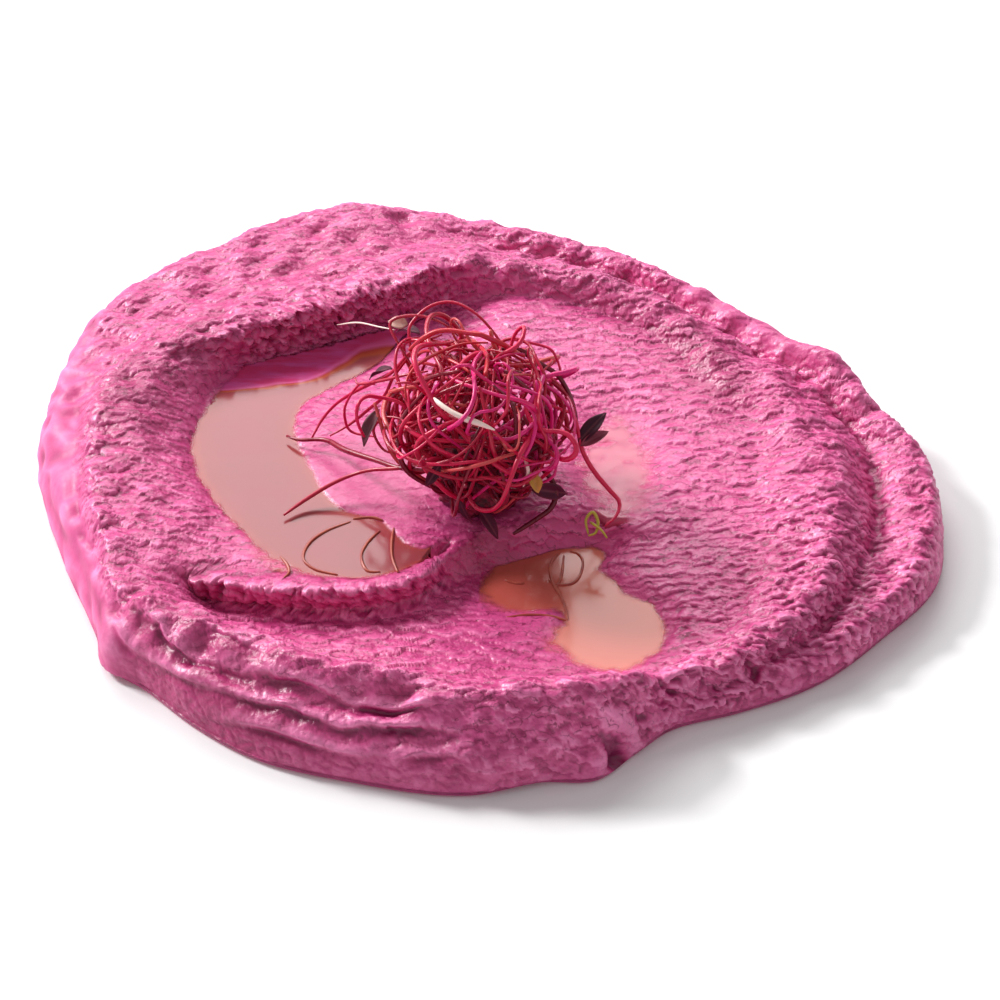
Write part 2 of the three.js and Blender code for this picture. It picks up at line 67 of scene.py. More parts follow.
INNER_CREST = [  # degrees, radius, height
    [9, 70, 18], [22, 61.5, 19], [36, 60.5, 20], [57, 59, 22], [80, 57, 23.5], [97, 58.5, 24],
    [112, 57, 23.5], [126, 58.5, 23], [139, 62, 23], [150, 68.5, 22.5], [160, 79, 21.5], [170, 85, 21],
    [185, 86, 19], [202, 88, 17.5], [214, 91, 16], [223, 86, 17], [232, 82, 17.5], [246, 83, 18],
    [261, 81, 18.5], [272, 84, 19.5], [284, 85, 19], [291, 83.5, 15.5], [299, 82.5, 11.5], [311, 86, 12.5],
    [325, 86, 15], [337, 82, 16], [350, 75, 17],
]
OUTER_CREST = [  # degrees, radius, height
    [0, 96, 12.5], [11, 86, 16.5], [17, 84, 20], [26, 76, 18.5], [42, 72, 18.5], [58, 72, 19.5],
    [83, 73.5, 20.5], [95, 79, 20.5], [104, 84, 21], [112, 88, 22.6], [120, 90, 22], [130, 91.5, 21],
    [139, 95.5, 19.8], [151, 99.5, 17.5], [163, 98.5, 14], [180, 93.5, 13], [203, 92, 12], [214, 95, 12],
    [224, 91.5, 12.5], [240, 91.5, 11.5], [257, 90.5, 11], [283, 91, 10.5], [292, 87, 8], [301, 85.5, 6.5],
    [314, 90, 7.5], [328, 98, 9], [345, 99, 10.5],
]
GROOVE = [  # degrees, place between the crests from 0 to 1, depth under the line between them
    [0, 0.6, 5], [12, 0.7, 5], [28, 0.72, 4.6], [48, 0.7, 4.4], [70, 0.74, 4], [88, 0.78, 3.8],
    [102, 0.6, 2], [130, 0.5, 1.6], [150, 0.5, 2], [170, 0.5, 0.6], [200, 0.5, 0], [250, 0.5, 0],
    [292, 0.5, 0], [308, 0.5, 1.2], [319, 0.46, 3.6], [333, 0.4, 5], [347, 0.55, 5.4],
]
WALL_FOOT = [  # degrees, radius, height
    [9, 60, 15], [22, 54.5, 15.5], [36, 54.5, 16], [57, 53.5, 17], [80, 52.5, 17.5], [92, 54, 15],
    [102, 56, 11.5], [113, 55, 11], [128, 56.5, 11], [139, 60, 11], [150, 65.5, 11], [160, 66.5, 11.6],
    [172, 66, 12.2], [186, 65, 12.4], [197, 63, 12.8], [205, 66, 13.4], [212, 78, 14], [220, 77, 8],
    [232, 75, 7], [250, 75, 6.6], [270, 75, 6.6], [286, 76, 6.4], [300, 76, 6.8], [313, 75, 9],
    [327, 70, 11.5], [345, 62, 13],
]
LEDGE = [  # degrees, radius of its lip, width of its face
    [0, 46, 6], [50, 40, 6], [92, 49, 2], [106, 54.5, 0.6], [130, 56.5, 0.6], [150, 64, 0.6], [175, 67, 0.8],
    [195, 64, 1.5], [208, 68, 2], [214, 75, 2], [221, 67.5, 2.2], [229, 60.5, 3], [235, 56, 3.4],
    [243, 50.5, 3.6], [252, 43.5, 4], [259, 33, 6], [272, 23, 7], [290, 20.5, 8], [306, 22.5, 9],
    [320, 35, 11], [330, 44, 10], [342, 47, 10],
]
LEDGE_START, LEDGE_OPENS_OVER = 212.5, 4
LEDGE_END, LEDGE_CLOSES_OVER = 288, 58
POOL_BAND = [  # degrees, inner edge, outer edge
    [0, 26, 32], [60, 26, 32], [92, 40, 46], [106, 52, 54], [112, 48, 54], [119, 44, 54.5], [127, 40.5, 55.5],
    [137, 40, 58.5], [147, 41.5, 62.5], [157, 44, 64.5], [167, 44, 65.5], [176, 42, 66.5], [186, 39.5, 65],
    [196, 38.5, 62.5], [208, 38, 60], [218, 36.5, 59], [227, 33.5, 57], [235, 34.5, 53.3], [243, 36.5, 48],
    [250, 36, 41], [258, 30, 34], [275, 20, 25], [310, 22, 27],
]
POOL_FROM, POOL_TO, POOL_FADES_OVER = 103, 252, 7
# Where each pool may lie: plan corners in degrees and radius
LEFT_POOL = [
    [104, 58], [112, 60], [128, 66], [140, 70], [152, 74], [166, 72], [180, 70], [195, 68], [208, 64],
    [222, 62], [232, 56], [243, 50], [251, 42.5], [252, 34], [235, 26], [190, 30], [150, 32], [122, 32],
    [104, 46],
]
FRONT_POOL = [
    [268, 30], [268, 46], [272, 52], [279, 55], [282, 60], [283, 69], [289, 73], [297, 76], [302, 76],
    [308, 71], [309, 60], [312, 51], [319, 47], [321, 38], [316, 30], [306, 27], [292, 25], [278, 26],
]
RIGHT_POOL = [
    [320, 24], [317, 36], [325, 42], [338, 42], [0, 43], [18, 43], [32, 40], [40, 33], [38, 22], [0, 17],
    [335, 18],
]
POOLS = [  # node, level, corners, over what depth its rim fades in, tint from peach to pink
    ("oil_left", LEFT_OIL_LEVEL, LEFT_POOL, 0.9, 0.5), ("oil_front", FRONT_OIL_LEVEL, FRONT_POOL, 0.9, 0.0),
    ("oil_right", RIGHT_OIL_LEVEL, RIGHT_POOL, 2.2, 1.0),
]
DIPS = [  # middle x, middle y, half lengths along x and y, depth
    [15.5, -36.5, 13, 9, 3], [27, -52, 9.5, 13, 3.2], [29.5, -2.5, 9.5, 20, 2.8], [21, -26.5, 10, 5, 3.4],
    [36, -51, 5.5, 9, 1.8], [16.5, -57, 6, 5, 0.7], [6, -41, 8, 7, 1.2],
]
FOLDS = [  # line of degrees and radius, height, width
    [[[219, 93.5], [228, 89.5], [237, 88.5], [247, 86.5], [256, 84]], 2.0, 2.6],
    [[[224, 95], [234, 94.5], [243, 92.5], [250, 92], [257, 91.5]], 2.2, 2.4],
    [[[262, 90], [270, 91], [279, 90.5], [287, 89], [292, 86.5]], 1.6, 2.6],
]
LUMP_HEIGHT = 0.75
LUMPS = [  # length, direction in degrees, phase
    [13, 20, 0.3], [9.5, 75, 1.9], [8, 130, 4.1], [11, 165, 2.6], [7.2, 40, 5.2], [6.6, 105, 3.3],
]

COLUMNS = 1440  # round the spread
RINGS = 300
COARSER_INSIDE = [75, 150]  # rings inside which a quarter and a half of the columns are left
UNDERSIDE = [(0.15, 0.25), (SIDE_TUCK, 0.0), (12.0, 0.0), (45.0, 0.0)]  # in from the edge, height
SPREAD_TRIANGLES = 380000
STROKE_WIDTH = 3.9
STROKE_LINE = [[214, 97.0], [226, 94.5], [240, 92.0], [262, 90.5]]  # the innermost stroke: degrees, radius
DENTS = [  # degrees, radius, half lengths round and out, height: bulges, and hollows under a fold
    [217, 97, 6, 4, 1.8], [288, 92.2, 3.6, 1.9, -3.0], [287.5, 88.6, 5.5, 1.4, 1.5], [274, 94, 9, 4, 1.0],
    [24, 87, 4.0, 2.4, 1.7],
]
SHADE_PATCHES = [  # painted shade: where the paste is painted a darker pink on faces, hollows and wall feet that turn from the light: middle degrees and radius, half lengths round and out, strength
    [172, 82, 22, 8, 0.92], [156, 76, 16, 7, 0.8], [188, 62, 13, 5, 0.25], [122, 75, 30, 6, 0.4],
    [312, 87, 24, 6, 0.35], [338, 84, 16, 5, 0.2], [40, 55, 34, 6, 0.55], [8, 64, 16, 6, 0.2],
    [248, 86, 30, 8, 0.4], [217, 74, 4.5, 3, 1.0], [268, 84, 20, 6, 0.35], [300, 70, 12, 8, 0.25],
    [78, 67, 26, 3.5, 0.45], [234, 98, 28, 9, 1.2], [262, 94, 30, 5, 0.5], [292, 89, 16, 5, 0.2],
    [269, 21, 6, 5, 0.9], [269, 28, 7, 5, 0.6], [26, 57, 19, 8, 1.0], [327, 73, 13, 6, 0.5],
    [233, 88, 26, 5, 0.9],
]

# Oil

OIL_STEP = 0.5
OIL_REACH = 0.35  # how far the oil's rim goes up into the hummus, so that no gap shows
OIL_BELOW = 0.4
ABOVE_ALL = 60.0


SHADED_SHORE = [  # x, y: the oil behind this line lies in the shade of the wall; its colour there is painted shade and a painted reflection of the wall
    [-65.4, 23.4], [-56.4, 24.9], [-50.7, 25.6], [-42.4, 27.1], [-37.9, 29.4], [-32.6, 34.0], [-29.0, 37.9],
    [-23.4, 39.8], [-12.9, 42.2],
]

# Sprouts

NEST_MIDDLE = np.array([-1.2, -11.2, 31.5])
NEST_HALF = np.array([21.0, 20.0, 21.0])
NEST_FOOT = np.array([0.6, -18.5, 13.0])
NEST_TOP = 52.5
LOOSE_STEMS = 125
RISING_STEMS = 48
STEM_POINTS = 34
STEM_SIDES = 6
RISE = ((13.0, 0.1), (18.5, 0.5), (27.0, 0.9), (36.0, 0.98), (45.0, 0.72), (50.5, 0.25))  # height, how far out
ROOT_TONE = 0.93
SUNKEN_THICKNESS = 0.34
SUNKEN_TONE = 0.2
CORE_MIDDLE = np.array([-0.4, -13.5, 19.5])
CORE_HALF = np.array([10.5, 9.5, 8.5])
CORE_FOOT = 12.4
LEAF_ROWS, LEAF_COLUMNS = 14, 7
LEAF_THICKNESS = 0.34
STRAYS = [  # stems that reach out of the nest, from inside it to the tip, thickness, tone
    [[[-11.5, -19.5, 27], [-18, -17.5, 24], [-24.3, -14.5, 21], [-28.8, -13.2, 18.5], [-33.7, -14.2, 16.5],
      [-39.1, -17, 14.5], [-43.5, -21, 13.6]], 0.5, 0.34],
    [[[-9.3, -22.5, 27], [-18, -17.5, 24], [-23.7, -11.7, 21.5], [-30.7, -4.5, 18.5], [-35.5, 1.9, 16.2],
      [-41.3, 3.9, 14.6], [-44.4, 6.2, 13.9]], 0.62, 0.22],
    [[[-12, 2, 43], [-16, 1.5, 41], [-20, 0.9, 36], [-24.7, 3.5, 31], [-29.3, 6.3, 26], [-33.4, 8.4, 21],
      [-36.5, 8, 17], [-38.7, 5.1, 14.2]], 0.44, 0.44],
    [[[-9, 2.5, 45], [-13.9, 2.8, 42], [-19.5, 2.5, 34], [-21.9, 3, 28], [-25.9, 5.3, 22], [-30, 5.3, 18],
      [-34.6, 4.8, 15]], 0.4, 0.36],
    [[[14, -13, 38], [17, -12.5, 36], [19.3, -10.9, 33.5], [20.4, -11.6, 30], [21.4, -13.9, 26],
      [23.9, -15.4, 21.5], [27, -16.8, 17.8], [29.6, -18.6, 15.2], [28.8, -21.8, 14.1],
      [26.3, -24.8, 13.7]], 0.5, 0.5],
    [[[10, -17.5, 27], [13.2, -18.6, 24], [15, -19.4, 21.5], [15.6, -21, 19], [14.4, -23, 17],
      [10.9, -24.8, 15.2], [6.4, -27.8, 14]], 0.66, 0.1],
    [[[-15, -2, 38], [-16.2, 2.4, 45], [-15.3, 4.8, 47], [-11.6, 6.8, 49.5], [-6.8, 6.9, 50.5],
      [-2.1, 4.6, 49.5], [1.8, 2.1, 46.5], [6, -2, 42]], 0.36, 0.4],
    [[[-15, -1, 38], [-19, 2.6, 43.5], [-20.4, 5.7, 45.5], [-18.2, 6.2, 47], [-13.4, 5.2, 48], [-8.6, 3, 47.5],
      [-5.5, 2, 45]], 0.34, 0.3],
    [[[4, -4, 46], [7.9, -3.1, 45], [11.5, -4.7, 43], [15.7, -5, 40], [18.3, -6.2, 36], [19.7, -6.8, 31],
      [20.4, -8.1, 27]], 0.62, 0.12],
    [[[-12, -4, 40], [-17.1, -2.8, 38], [-21.6, -0.6, 35], [-27.3, 3.1, 31], [-28.5, 5.3, 31]], 0.38, 0.36],
    [[[6, -2, 47], [12.2, -1.3, 45], [15, -2.4, 44], [16.7, -4.3, 40], [17, -6, 35]], 0.32, 0.5],
    [[[-24, 3, 31], [-27.4, 4.4, 30], [-30.6, 3.7, 25], [-30.9, 3, 21], [-29.5, 2.5, 18],
      [-24.3, 0.7, 18]], 0.32, 0.5],
    [[[22.6, -27.7, 13.9], [22.1, -25.6, 16.1], [23.6, -24.5, 17.4], [24.7, -26, 15.9], [24.2, -28, 14.6],
      [22.6, -28.6, 14.2]], 0.36, 1.1],
    [[[23, -24, 14.2], [23.6, -26.5, 15.8], [25.4, -28.2, 15.4], [26.6, -29.6, 14.4]], 0.3, 1.1],
    [[[-15, -14, 34], [-21, -10, 32], [-24, -9, 28], [-22, -11, 24], [-18, -13, 24]], 0.36, 0.3],
]
PALE_ROOTS = [  # cream stems across the nest, thickness
    [[[-10.3, -21.8, 46.5], [-9, -24.2, 46.8], [-6.5, -26.2, 46.2], [-3.5, -27.3, 45.2], [-0.6, -27.6, 44.2],
      [2.5, -28.2, 43]], 0.62],
    [[[-33, 20.3, 34.5], [-28, 16.9, 37.6], [-22.9, 12, 40], [-19.5, 9.6, 41]], 0.2],
    [[[8, -26, 36], [9.5, -27, 31], [8.5, -27.5, 27]], 0.4],
]
SUNKEN = [  # thin stems in the oil: points in plan, and the oil they lie in
    [[[-43.5, -33.5], [-42, -36], [-41.4, -38.6], [-42.5, -40.5]], LEFT_OIL_LEVEL],
    [[[-29, -22], [-34, -25], [-37.5, -29], [-38.6, -34], [-36, -37.6], [-31, -39.5]], LEFT_OIL_LEVEL],
    [[[-28.5, -21], [-24.5, -20.5], [-22, -21.5]], LEFT_OIL_LEVEL],
    [[[-22.5, -25], [-25, -29], [-26.2, -33.5], [-24.8, -38], [-22, -38.5]], LEFT_OIL_LEVEL],
    [[[-19.5, -24], [-19.8, -29], [-19.5, -34], [-18.2, -38.6]], LEFT_OIL_LEVEL],
    [[[14.1, -33.8], [15, -35.1], [16.9, -35.4], [19.3, -34.8], [20.9, -32.2], [21.6, -27.8], [20.6, -25.2],
      [18.9, -24.4]], FRONT_OIL_LEVEL],
    [[[15.6, -37.1], [14.6, -33.2], [14.4, -29.9], [15.1, -27.2], [16.2, -25.4]], FRONT_OIL_LEVEL],
    [[[15.6, -36.4], [16.7, -33.2], [17.2, -29.3], [17.5, -25.8]], FRONT_OIL_LEVEL],
    [[[15, -34.5], [16.2, -38], [17.4, -42.2], [18, -46.6]], FRONT_OIL_LEVEL],
    [[[4.8, -45.7], [9.9, -45], [14.2, -45.3], [17.6, -46.6]], FRONT_OIL_LEVEL],
    [[[4.6, -33.8], [6.8, -34.8], [8.7, -34.8]], FRONT_OIL_LEVEL],
]
LEAVES = [  # stalk end, tip, upper side, width, how far the sides curl up, tone
    [[20.6, -13.2, 27.6], [26.6, -7.4, 31.0], [-0.3, -0.8, 0.6], 3.4, 0.5, 0.02],
    [[21.0, -13.8, 27.2], [27.0, -9.8, 27.8], [0.1, -0.7, 0.8], 2.4, 0.9, 0.62],
    [[-22.4, -11.0, 35.0], [-25.6, -14.0, 27.2], [-0.6, -0.8, 0.1], 2.8, 0.8, 0.22],
    [[-16.6, 6.8, 44.6], [-20.8, 8.0, 44.4], [0.1, -0.7, 0.7], 2.8, 0.5, 0.78],
    [[10.4, -23.0, 22.5], [17.5, -18.4, 17.6], [0.3, -0.7, 0.6], 3.6, 0.5, 0.12],
    [[-0.6, -26.2, 19.0], [3.0, -30.0, 14.4], [0.2, -0.6, 0.8], 2.8, 0.5, 0.14],
    [[9.6, -27.0, 30.5], [11.6, -28.2, 26.0], [0.5, -0.8, 0.2], 2.8, 0.9, 0.95],
    [[-5.0, -26.0, 22.0], [-2.4, -28.0, 17.8], [-0.3, -0.9, 0.1], 1.7, 0.6, 0.14],
    [[-9.0, -27.0, 33.0], [-12.0, -27.5, 27.5], [-0.3, -0.9, 0.1], 2.4, 0.8, 0.04],
    [[-14.0, 4.0, 44.0], [-19.0, 8.0, 41.0], [-0.4, 0.6, 0.6], 3.0, 0.5, 0.08],
    [[6.0, 6.0, 32.0], [9.0, 10.0, 27.0], [0.3, 0.8, 0.3], 2.6, 0.5, 0.1],
    [[-8.0, 7.0, 34.0], [-9.0, 10.5, 29.0], [-0.3, 0.9, 0.3], 2.6, 0.5, 0.5],
    [[-20.0, 2.0, 36.0], [-25.0, 4.0, 31.0], [-0.6, 0.4, 0.6], 2.8, 0.5, 0.04],
]


# The swirl


def lerp(a, b, t):
    return a + (b - a) * t


def smoothstep(x, low, high):
    t = np.clip((x - low) / (high - low), 0, 1)
    return t * t * (3 - 2 * t)


def between(x, opens, opened, closes, closed):
    """Rises from 0 to 1 over the first two values, and falls back over the last two."""
    return smoothstep(x, opens, opened) * (1 - smoothstep(x, closes, closed))


def unit(v):
    return v / np.maximum(np.linalg.norm(v, axis=-1, keepdims=True), 1e-9)


def around(stations):
    """A smooth closed run of values round the spread, through stations of degrees and values."""
    table = np.array(stations, float)
    angles = np.concatenate([table[-2:, 0] - 360, table[:, 0], table[:3, 0] + 360])
    values = np.concatenate([table[-2:, 1:], table[:, 1:], table[:3, 1:]])

    def at(degrees):
        wrapped = np.mod(degrees, 360)
        i = np.clip(np.searchsorted(angles, wrapped, side="right") - 1, 1, len(angles) - 3)
        span = (angles[i + 1] - angles[i])[..., None]
        t = (wrapped[..., None] - angles[i][..., None]) / span
        start, end = values[i], values[i + 1]
        slope_from = (end - values[i - 1]) / (angles[i + 1] - angles[i - 1])[..., None] * span
        slope_to = (values[i + 2] - start) / (angles[i + 2] - angles[i])[..., None] * span
        rise = end - start
        bend = slope_from + slope_to - 2 * rise
        return start + t * (slope_from + t * (3 * rise - 2 * slope_from - slope_to + t * bend))

    return at


RUNS = {name: around(stations) for name, stations in (
    ("outline", OUTLINE), ("inner", INNER_CREST), ("outer", OUTER_CREST), ("groove", GROOVE),
    ("foot", WALL_FOOT), ("ledge", LEDGE), ("pool", POOL_BAND),
)}


def section_at(degrees):
    """What the swirl measures at each angle."""
    run = {name: np.moveaxis(at(degrees), -1, 0) for name, at in RUNS.items()}
    swirl = SimpleNamespace(degrees=degrees, edge=run["outline"][0])
    crest, swirl.crest_height = run["inner"]
    shoulder, swirl.shoulder_height = run["outer"]
    foot, swirl.foot_height = run["foot"]
    ledge, swirl.ledge_width = run["ledge"]
    swirl.groove, swirl.groove_depth = run["groove"]
    swirl.pool_inner, swirl.pool_outer = run["pool"]
    swirl.crest = np.minimum(crest, swirl.edge - 4.5)
    swirl.shoulder = np.clip(shoulder, swirl.crest + 2, swirl.edge - 1.8)
    swirl.foot = np.minimum(foot, swirl.crest - 1.4)
    swirl.ledge = np.clip(ledge, swirl.pool_outer + 0.8, swirl.foot - swirl.ledge_width - 0.8)
    wrapped = np.mod(degrees, 360)
    swirl.ledge_strength = between(
        wrapped, LEDGE_START, LEDGE_START + LEDGE_OPENS_OVER, LEDGE_END, LEDGE_END + LEDGE_CLOSES_OVER)
    swirl.pool_strength = between(
        wrapped, POOL_FROM - POOL_FADES_OVER, POOL_FROM, POOL_TO, POOL_TO + POOL_FADES_OVER)
    return swirl


def in_columns(section):
    """The same measures, one to each column of the surface, for use over all its rings."""
    return SimpleNamespace(**{name: value[:, None] for name, value in vars(section).items()})


def floor_height(swirl, r, x, y):
    """The mound and the oil's hollow inside the ledge, and the front trough outside it."""
    foot, foot_height = swirl.foot, swirl.foot_height
    open_floor = lerp(MOUND_HEIGHT, foot_height, smoothstep(r, MOUND_FLAT_RADIUS, foot))
    shore = LEFT_OIL_LEVEL - CLEARANCE / 2
    inner, outer = swirl.pool_inner, swirl.pool_outer
    across = np.clip((r - inner) / np.maximum(outer - inner, 1), 0, 1)
    pooled = shore - LEFT_POOL_DEPTH * (1 - np.abs(2 * across - 1) ** 3)
    bank = lerp(MOUND_HEIGHT, shore + 0.4, smoothstep(r, MOUND_FLAT_RADIUS, inner) ** 2)
    beyond = lerp(shore, np.maximum(foot_height, shore), (r - outer) / (foot - outer))
    pooled = np.where(r < inner, bank, np.where(r > outer, beyond, pooled))
    face_end = swirl.ledge + swirl.ledge_width
    trough = lerp(TROUGH_HEIGHT, foot_height, smoothstep(r, face_end, foot))
    plateau = lerp(open_floor, pooled, swirl.pool_strength)
    height = lerp(plateau, trough, swirl.ledge_strength * smoothstep(r, swirl.ledge, face_end))
    for middle_x, middle_y, half_x, half_y, depth in DIPS:
        away = ((x - middle_x) / half_x) ** 2 + ((y - middle_y) / half_y) ** 2
        height = height - depth * np.exp(-away * away)
    return height


def smooth_height(swirl, r, x, y):
    """The height from the floor, over both crests, to the edge."""
    foot, crest, shoulder, edge, groove = swirl.foot, swirl.crest, swirl.shoulder, swirl.edge, swirl.groove
    floor = floor_height(swirl, np.minimum(r, foot), x, y)
    t = np.clip((r - foot) / (crest - foot), 0, 1)
    wall = lerp(floor, swirl.crest_height, 1 - (1 - t) ** 2.2)
    t = np.clip((r - crest) / (shoulder - crest), 0, 1)
    near = np.where(t < groove, t / groove, (1 - t) / (1 - groove))
    band = lerp(swirl.crest_height, swirl.shoulder_height, smoothstep(t, 0, 1))
    band = band - swirl.groove_depth * near ** 1.6
    t = np.clip((r - shoulder) / (edge - shoulder), 0, 1)
    side = swirl.shoulder_height * np.maximum(0, 1 - t ** 2.2) ** 0.6
    return np.where(r < foot, floor, np.where(r < crest, wall, np.where(r < shoulder, band, side)))


def folds_at(swirl):
    """Each fold is a step: the layer inside its line is raised, and the one outside it is let down."""
    turn = swirl.degrees
    raised = np.zeros_like(swirl.r)
    for line, height, width in FOLDS:
        at, radii = np.array(line, float).T
        strength = between(turn, at[0] - 5, at[0], at[-1], at[-1] + 5)
        t = (swirl.r - np.interp(turn, at, radii)) / width
        raised -= strength * height * t * np.exp(0.5 - t * t / 2)
    return raised


def lumps_at(x, y):
    total = np.zeros_like(x)
    for length, degrees, phase in LUMPS:
        along = x * math.cos(math.radians(degrees)) + y * math.sin(math.radians(degrees))
        total += np.sin(2 * math.pi * along / length + phase + 1.3 * np.sin((x - y) / 9 + phase))
    return LUMP_HEIGHT * total / math.sqrt(len(LUMPS))


# Random relief

DIRECTIONS = unit(rng.normal(size=(4096, 3)))
SCATTER = rng.random((4096, 3))


def lattice(cell, seed, wrap=0):
    x = cell[..., 0] % wrap if wrap else cell[..., 0]
    return (x * 73856093 ^ cell[..., 1] * 19349663 ^ cell[..., 2] * 83492791 ^ seed * 2654435) & 4095


def in_cells(points, size):
    """The cell that each point is in, and its place in it. The size is one, or one along each axis."""
    place = points / np.asarray(size, float)
    cell = np.floor(place).astype(np.int64)
    return cell, place - cell


def swell(points, size, seed, wrap=0):
    """Smooth random waves from about -1 to 1."""
    cell, f = in_cells(points, size)
    w = f * f * f * (f * (f * 6 - 15) + 10)
    total = np.zeros(f.shape[:-1])
    for corner in itertools.product((0, 1), repeat=3):
        weight = np.prod(np.where(corner, w, 1 - w), axis=-1)
        total += weight * np.sum((f - corner) * DIRECTIONS[lattice(cell + corner, seed, wrap)], axis=-1)
    return 1.7 * total


def grains(points, size, seed):
    """Distances to the nearest and the next of scattered points: alike in the crease between two grains."""
    cell, f = in_cells(points, size)
    nearest = np.full(f.shape[:-1], 9.0)
    second = nearest.copy()
    for corner in itertools.product((-1, 0, 1), repeat=3):
        away = np.sum((f - corner - SCATTER[lattice(cell + corner, seed)]) ** 2, axis=-1)
        second = np.minimum(second, np.maximum(nearest, away))
        nearest = np.minimum(nearest, away)
    return np.sqrt(nearest), np.sqrt(second)


def flakes(points, size, seed, front, wrap=0):
    """Thin overlapping layers: each rises towards its front edge, and drops there to the next."""
    cell, f = in_cells(points, size)
    nearest = np.full(f.shape[:-1], 9.0)
    tilt = np.zeros(f.shape[:-1])
    for corner in itertools.product((-1, 0, 1), repeat=3):
        pick = SCATTER[lattice(cell + corner, seed, wrap)]
        gap = f - corner - pick
        away = np.sum(gap ** 2, axis=-1)
        here = sum(gap[..., k] * front[k] for k in range(3)) + 0.7 * (pick[..., 0] - 0.5)
        tilt = np.where(away < nearest, here, tilt)
        nearest = np.minimum(nearest, away)
    return np.clip(1.25 * tilt, -0.55, 0.75)


def blurred(field, steps_round, steps_out):
    """A field over columns and rings, averaged with its neighbours."""
    for _ in range(2):
        for axis, reach in ((0, steps_round), (1, steps_out)):
            total = np.zeros_like(field)
            for k in range(-reach, reach + 1):
                if axis == 0:
                    total += np.roll(field, k, axis=0)
                else:
                    index = np.clip(np.arange(field.shape[1]) + k, 0, field.shape[1] - 1)
                    total += field[:, index]
            field = total / (2 * reach + 1)
    return field


def ring_radii(section, count):
    """Radii that follow the ledge, the wall's foot and the crests, spaced evenly along the surface."""
    swirl = in_columns(section)
    groove = lerp(section.crest, section.shoulder, section.groove)
    stops = [
        np.zeros_like(section.edge), section.pool_inner, section.pool_outer, section.ledge,
        section.ledge + section.ledge_width, section.foot, section.crest, groove, section.shoulder,
        section.edge]
    t = np.linspace(0, 1, 60)
    parts = [lerp(a[:, None], b[:, None], t[None, :-1]) for a, b in zip(stops[:-2], stops[1:-1])]
    parts.append(lerp(swirl.shoulder, swirl.edge, np.sin(math.pi / 2 * t)[None, :]))
    dense = np.concatenate(parts, axis=1)
    angle = np.radians(swirl.degrees)
    height = smooth_height(swirl, dense, dense * np.cos(angle), dense * np.sin(angle))
    steps = np.hypot(np.diff(dense), np.diff(height))
    run = np.concatenate([np.zeros((len(dense), 1)), np.cumsum(steps, axis=1)], axis=1)
    share = np.linspace(0, 1, count + 1)[1:]
    return np.array([np.interp(share * along[-1], along, radii) for along, radii in zip(run, dense)])


def smooth_swirl(swirl):
    """The swirl without its torn marks, over columns and rings, and which way each place faces."""
    r, foot, crest, shoulder = swirl.r, swirl.foot, swirl.crest, swirl.shoulder
    rough = between(r, foot - 4, crest, shoulder, swirl.edge - 0.5)
    z = smooth_height(swirl, r, swirl.x, swirl.y) + folds_at(swirl) + rough * lumps_at(swirl.x, swirl.y)
    z = blurred(z, 2, 2)
    z[:, -1] = LOWEST_EDGE
    z = np.maximum(z, LOWEST_EDGE)
    on_wall = between(r, foot, crest, crest, shoulder)
    lean = 2 * on_wall * np.maximum(0, 1 - ((swirl.degrees - 130) / 34) ** 2)
    inwards = 1 - lean / np.maximum(r, 1)
    points = np.stack([swirl.x * inwards, swirl.y * inwards, z], axis=-1)
    along_round = np.roll(points, -1, axis=0) - np.roll(points, 1, axis=0)
    return points, unit(np.cross(np.gradient(points, axis=1), along_round))


def zones_of(swirl):
    """How much of each kind of surface shows at each place, from 0 to 1."""
    r, turn = swirl.r, swirl.degrees
    foot, crest, shoulder, ledge = swirl.foot, swirl.crest, swirl.shoulder, swirl.ledge
    zone = SimpleNamespace()
    flank = smoothstep(r, shoulder - 1, shoulder + 4)
    zone.left_flank = flank * between(turn, 135, 160, 214, 226)
    zone.right_flank = flank * np.maximum(smoothstep(turn, 325, 338), 1 - smoothstep(turn, 8, 20))
    zone.front_flank = flank * between(turn, 214, 226, 322, 335)
    zone.rear_flank = np.clip(flank - zone.left_flank - zone.right_flank - zone.front_flank, 0, 1)
    outer_band = smoothstep(r, lerp(crest, shoulder, 0.3), shoulder)
    zone.calm = zone.left_flank + (1 - zone.left_flank) * outer_band * between(turn, 150, 172, 212, 224)
    zone.basin = 1 - smoothstep(r, foot - 3, foot + 3)
    zone.rim = between(r, foot - 1, crest - 1, shoulder + 1.5, shoulder + 6) * (1 - zone.calm)
    zone.rest = np.clip(1 - zone.basin - zone.rim - flank - zone.calm, 0, 1)
    zone.inner_wall = between(r, foot, foot + 2, crest - 2, crest) * between(turn, 90, 104, 138, 150)
    zone.crest_line = np.exp(-((r - crest) / 3.5) ** 2)
    zone.shoulder_line = np.exp(-((r - shoulder) / 3) ** 2)
    lip_shows = swirl.ledge_strength * (1 - smoothstep(turn, 248, 262))
    zone.ledge_line = lip_shows * np.exp(-((r - ledge) / 2.2) ** 2)
    face_end = ledge + swirl.ledge_width
    zone.face = swirl.ledge_strength * between(r, ledge - 1, ledge + 0.5, face_end, face_end + 3)
    zone.face = zone.face * (1 - smoothstep(turn, 250, 266))
    below_crest = between(r, crest + 1, crest + 4, swirl.edge - 3, swirl.edge - 1)
    zone.stroked = between(turn, 214, 222, 256, 272) * below_crest
    zone.rougher = between(turn, 286, 298, 336, 350)
    zone.creasing = np.maximum(smoothstep(turn, 300, 316), 1 - smoothstep(turn, 4, 14))
    zone.smooth_rim = smoothstep(r, swirl.groove_line, swirl.groove_line + 2.5) * between(turn, 12, 22, 46, 56)
    # Smoother, between the left pool and the nest
    zone.west = np.exp(-(((swirl.x + 27) / 16) ** 2 + ((swirl.y + 12) / 19) ** 2) ** 2)
    return zone


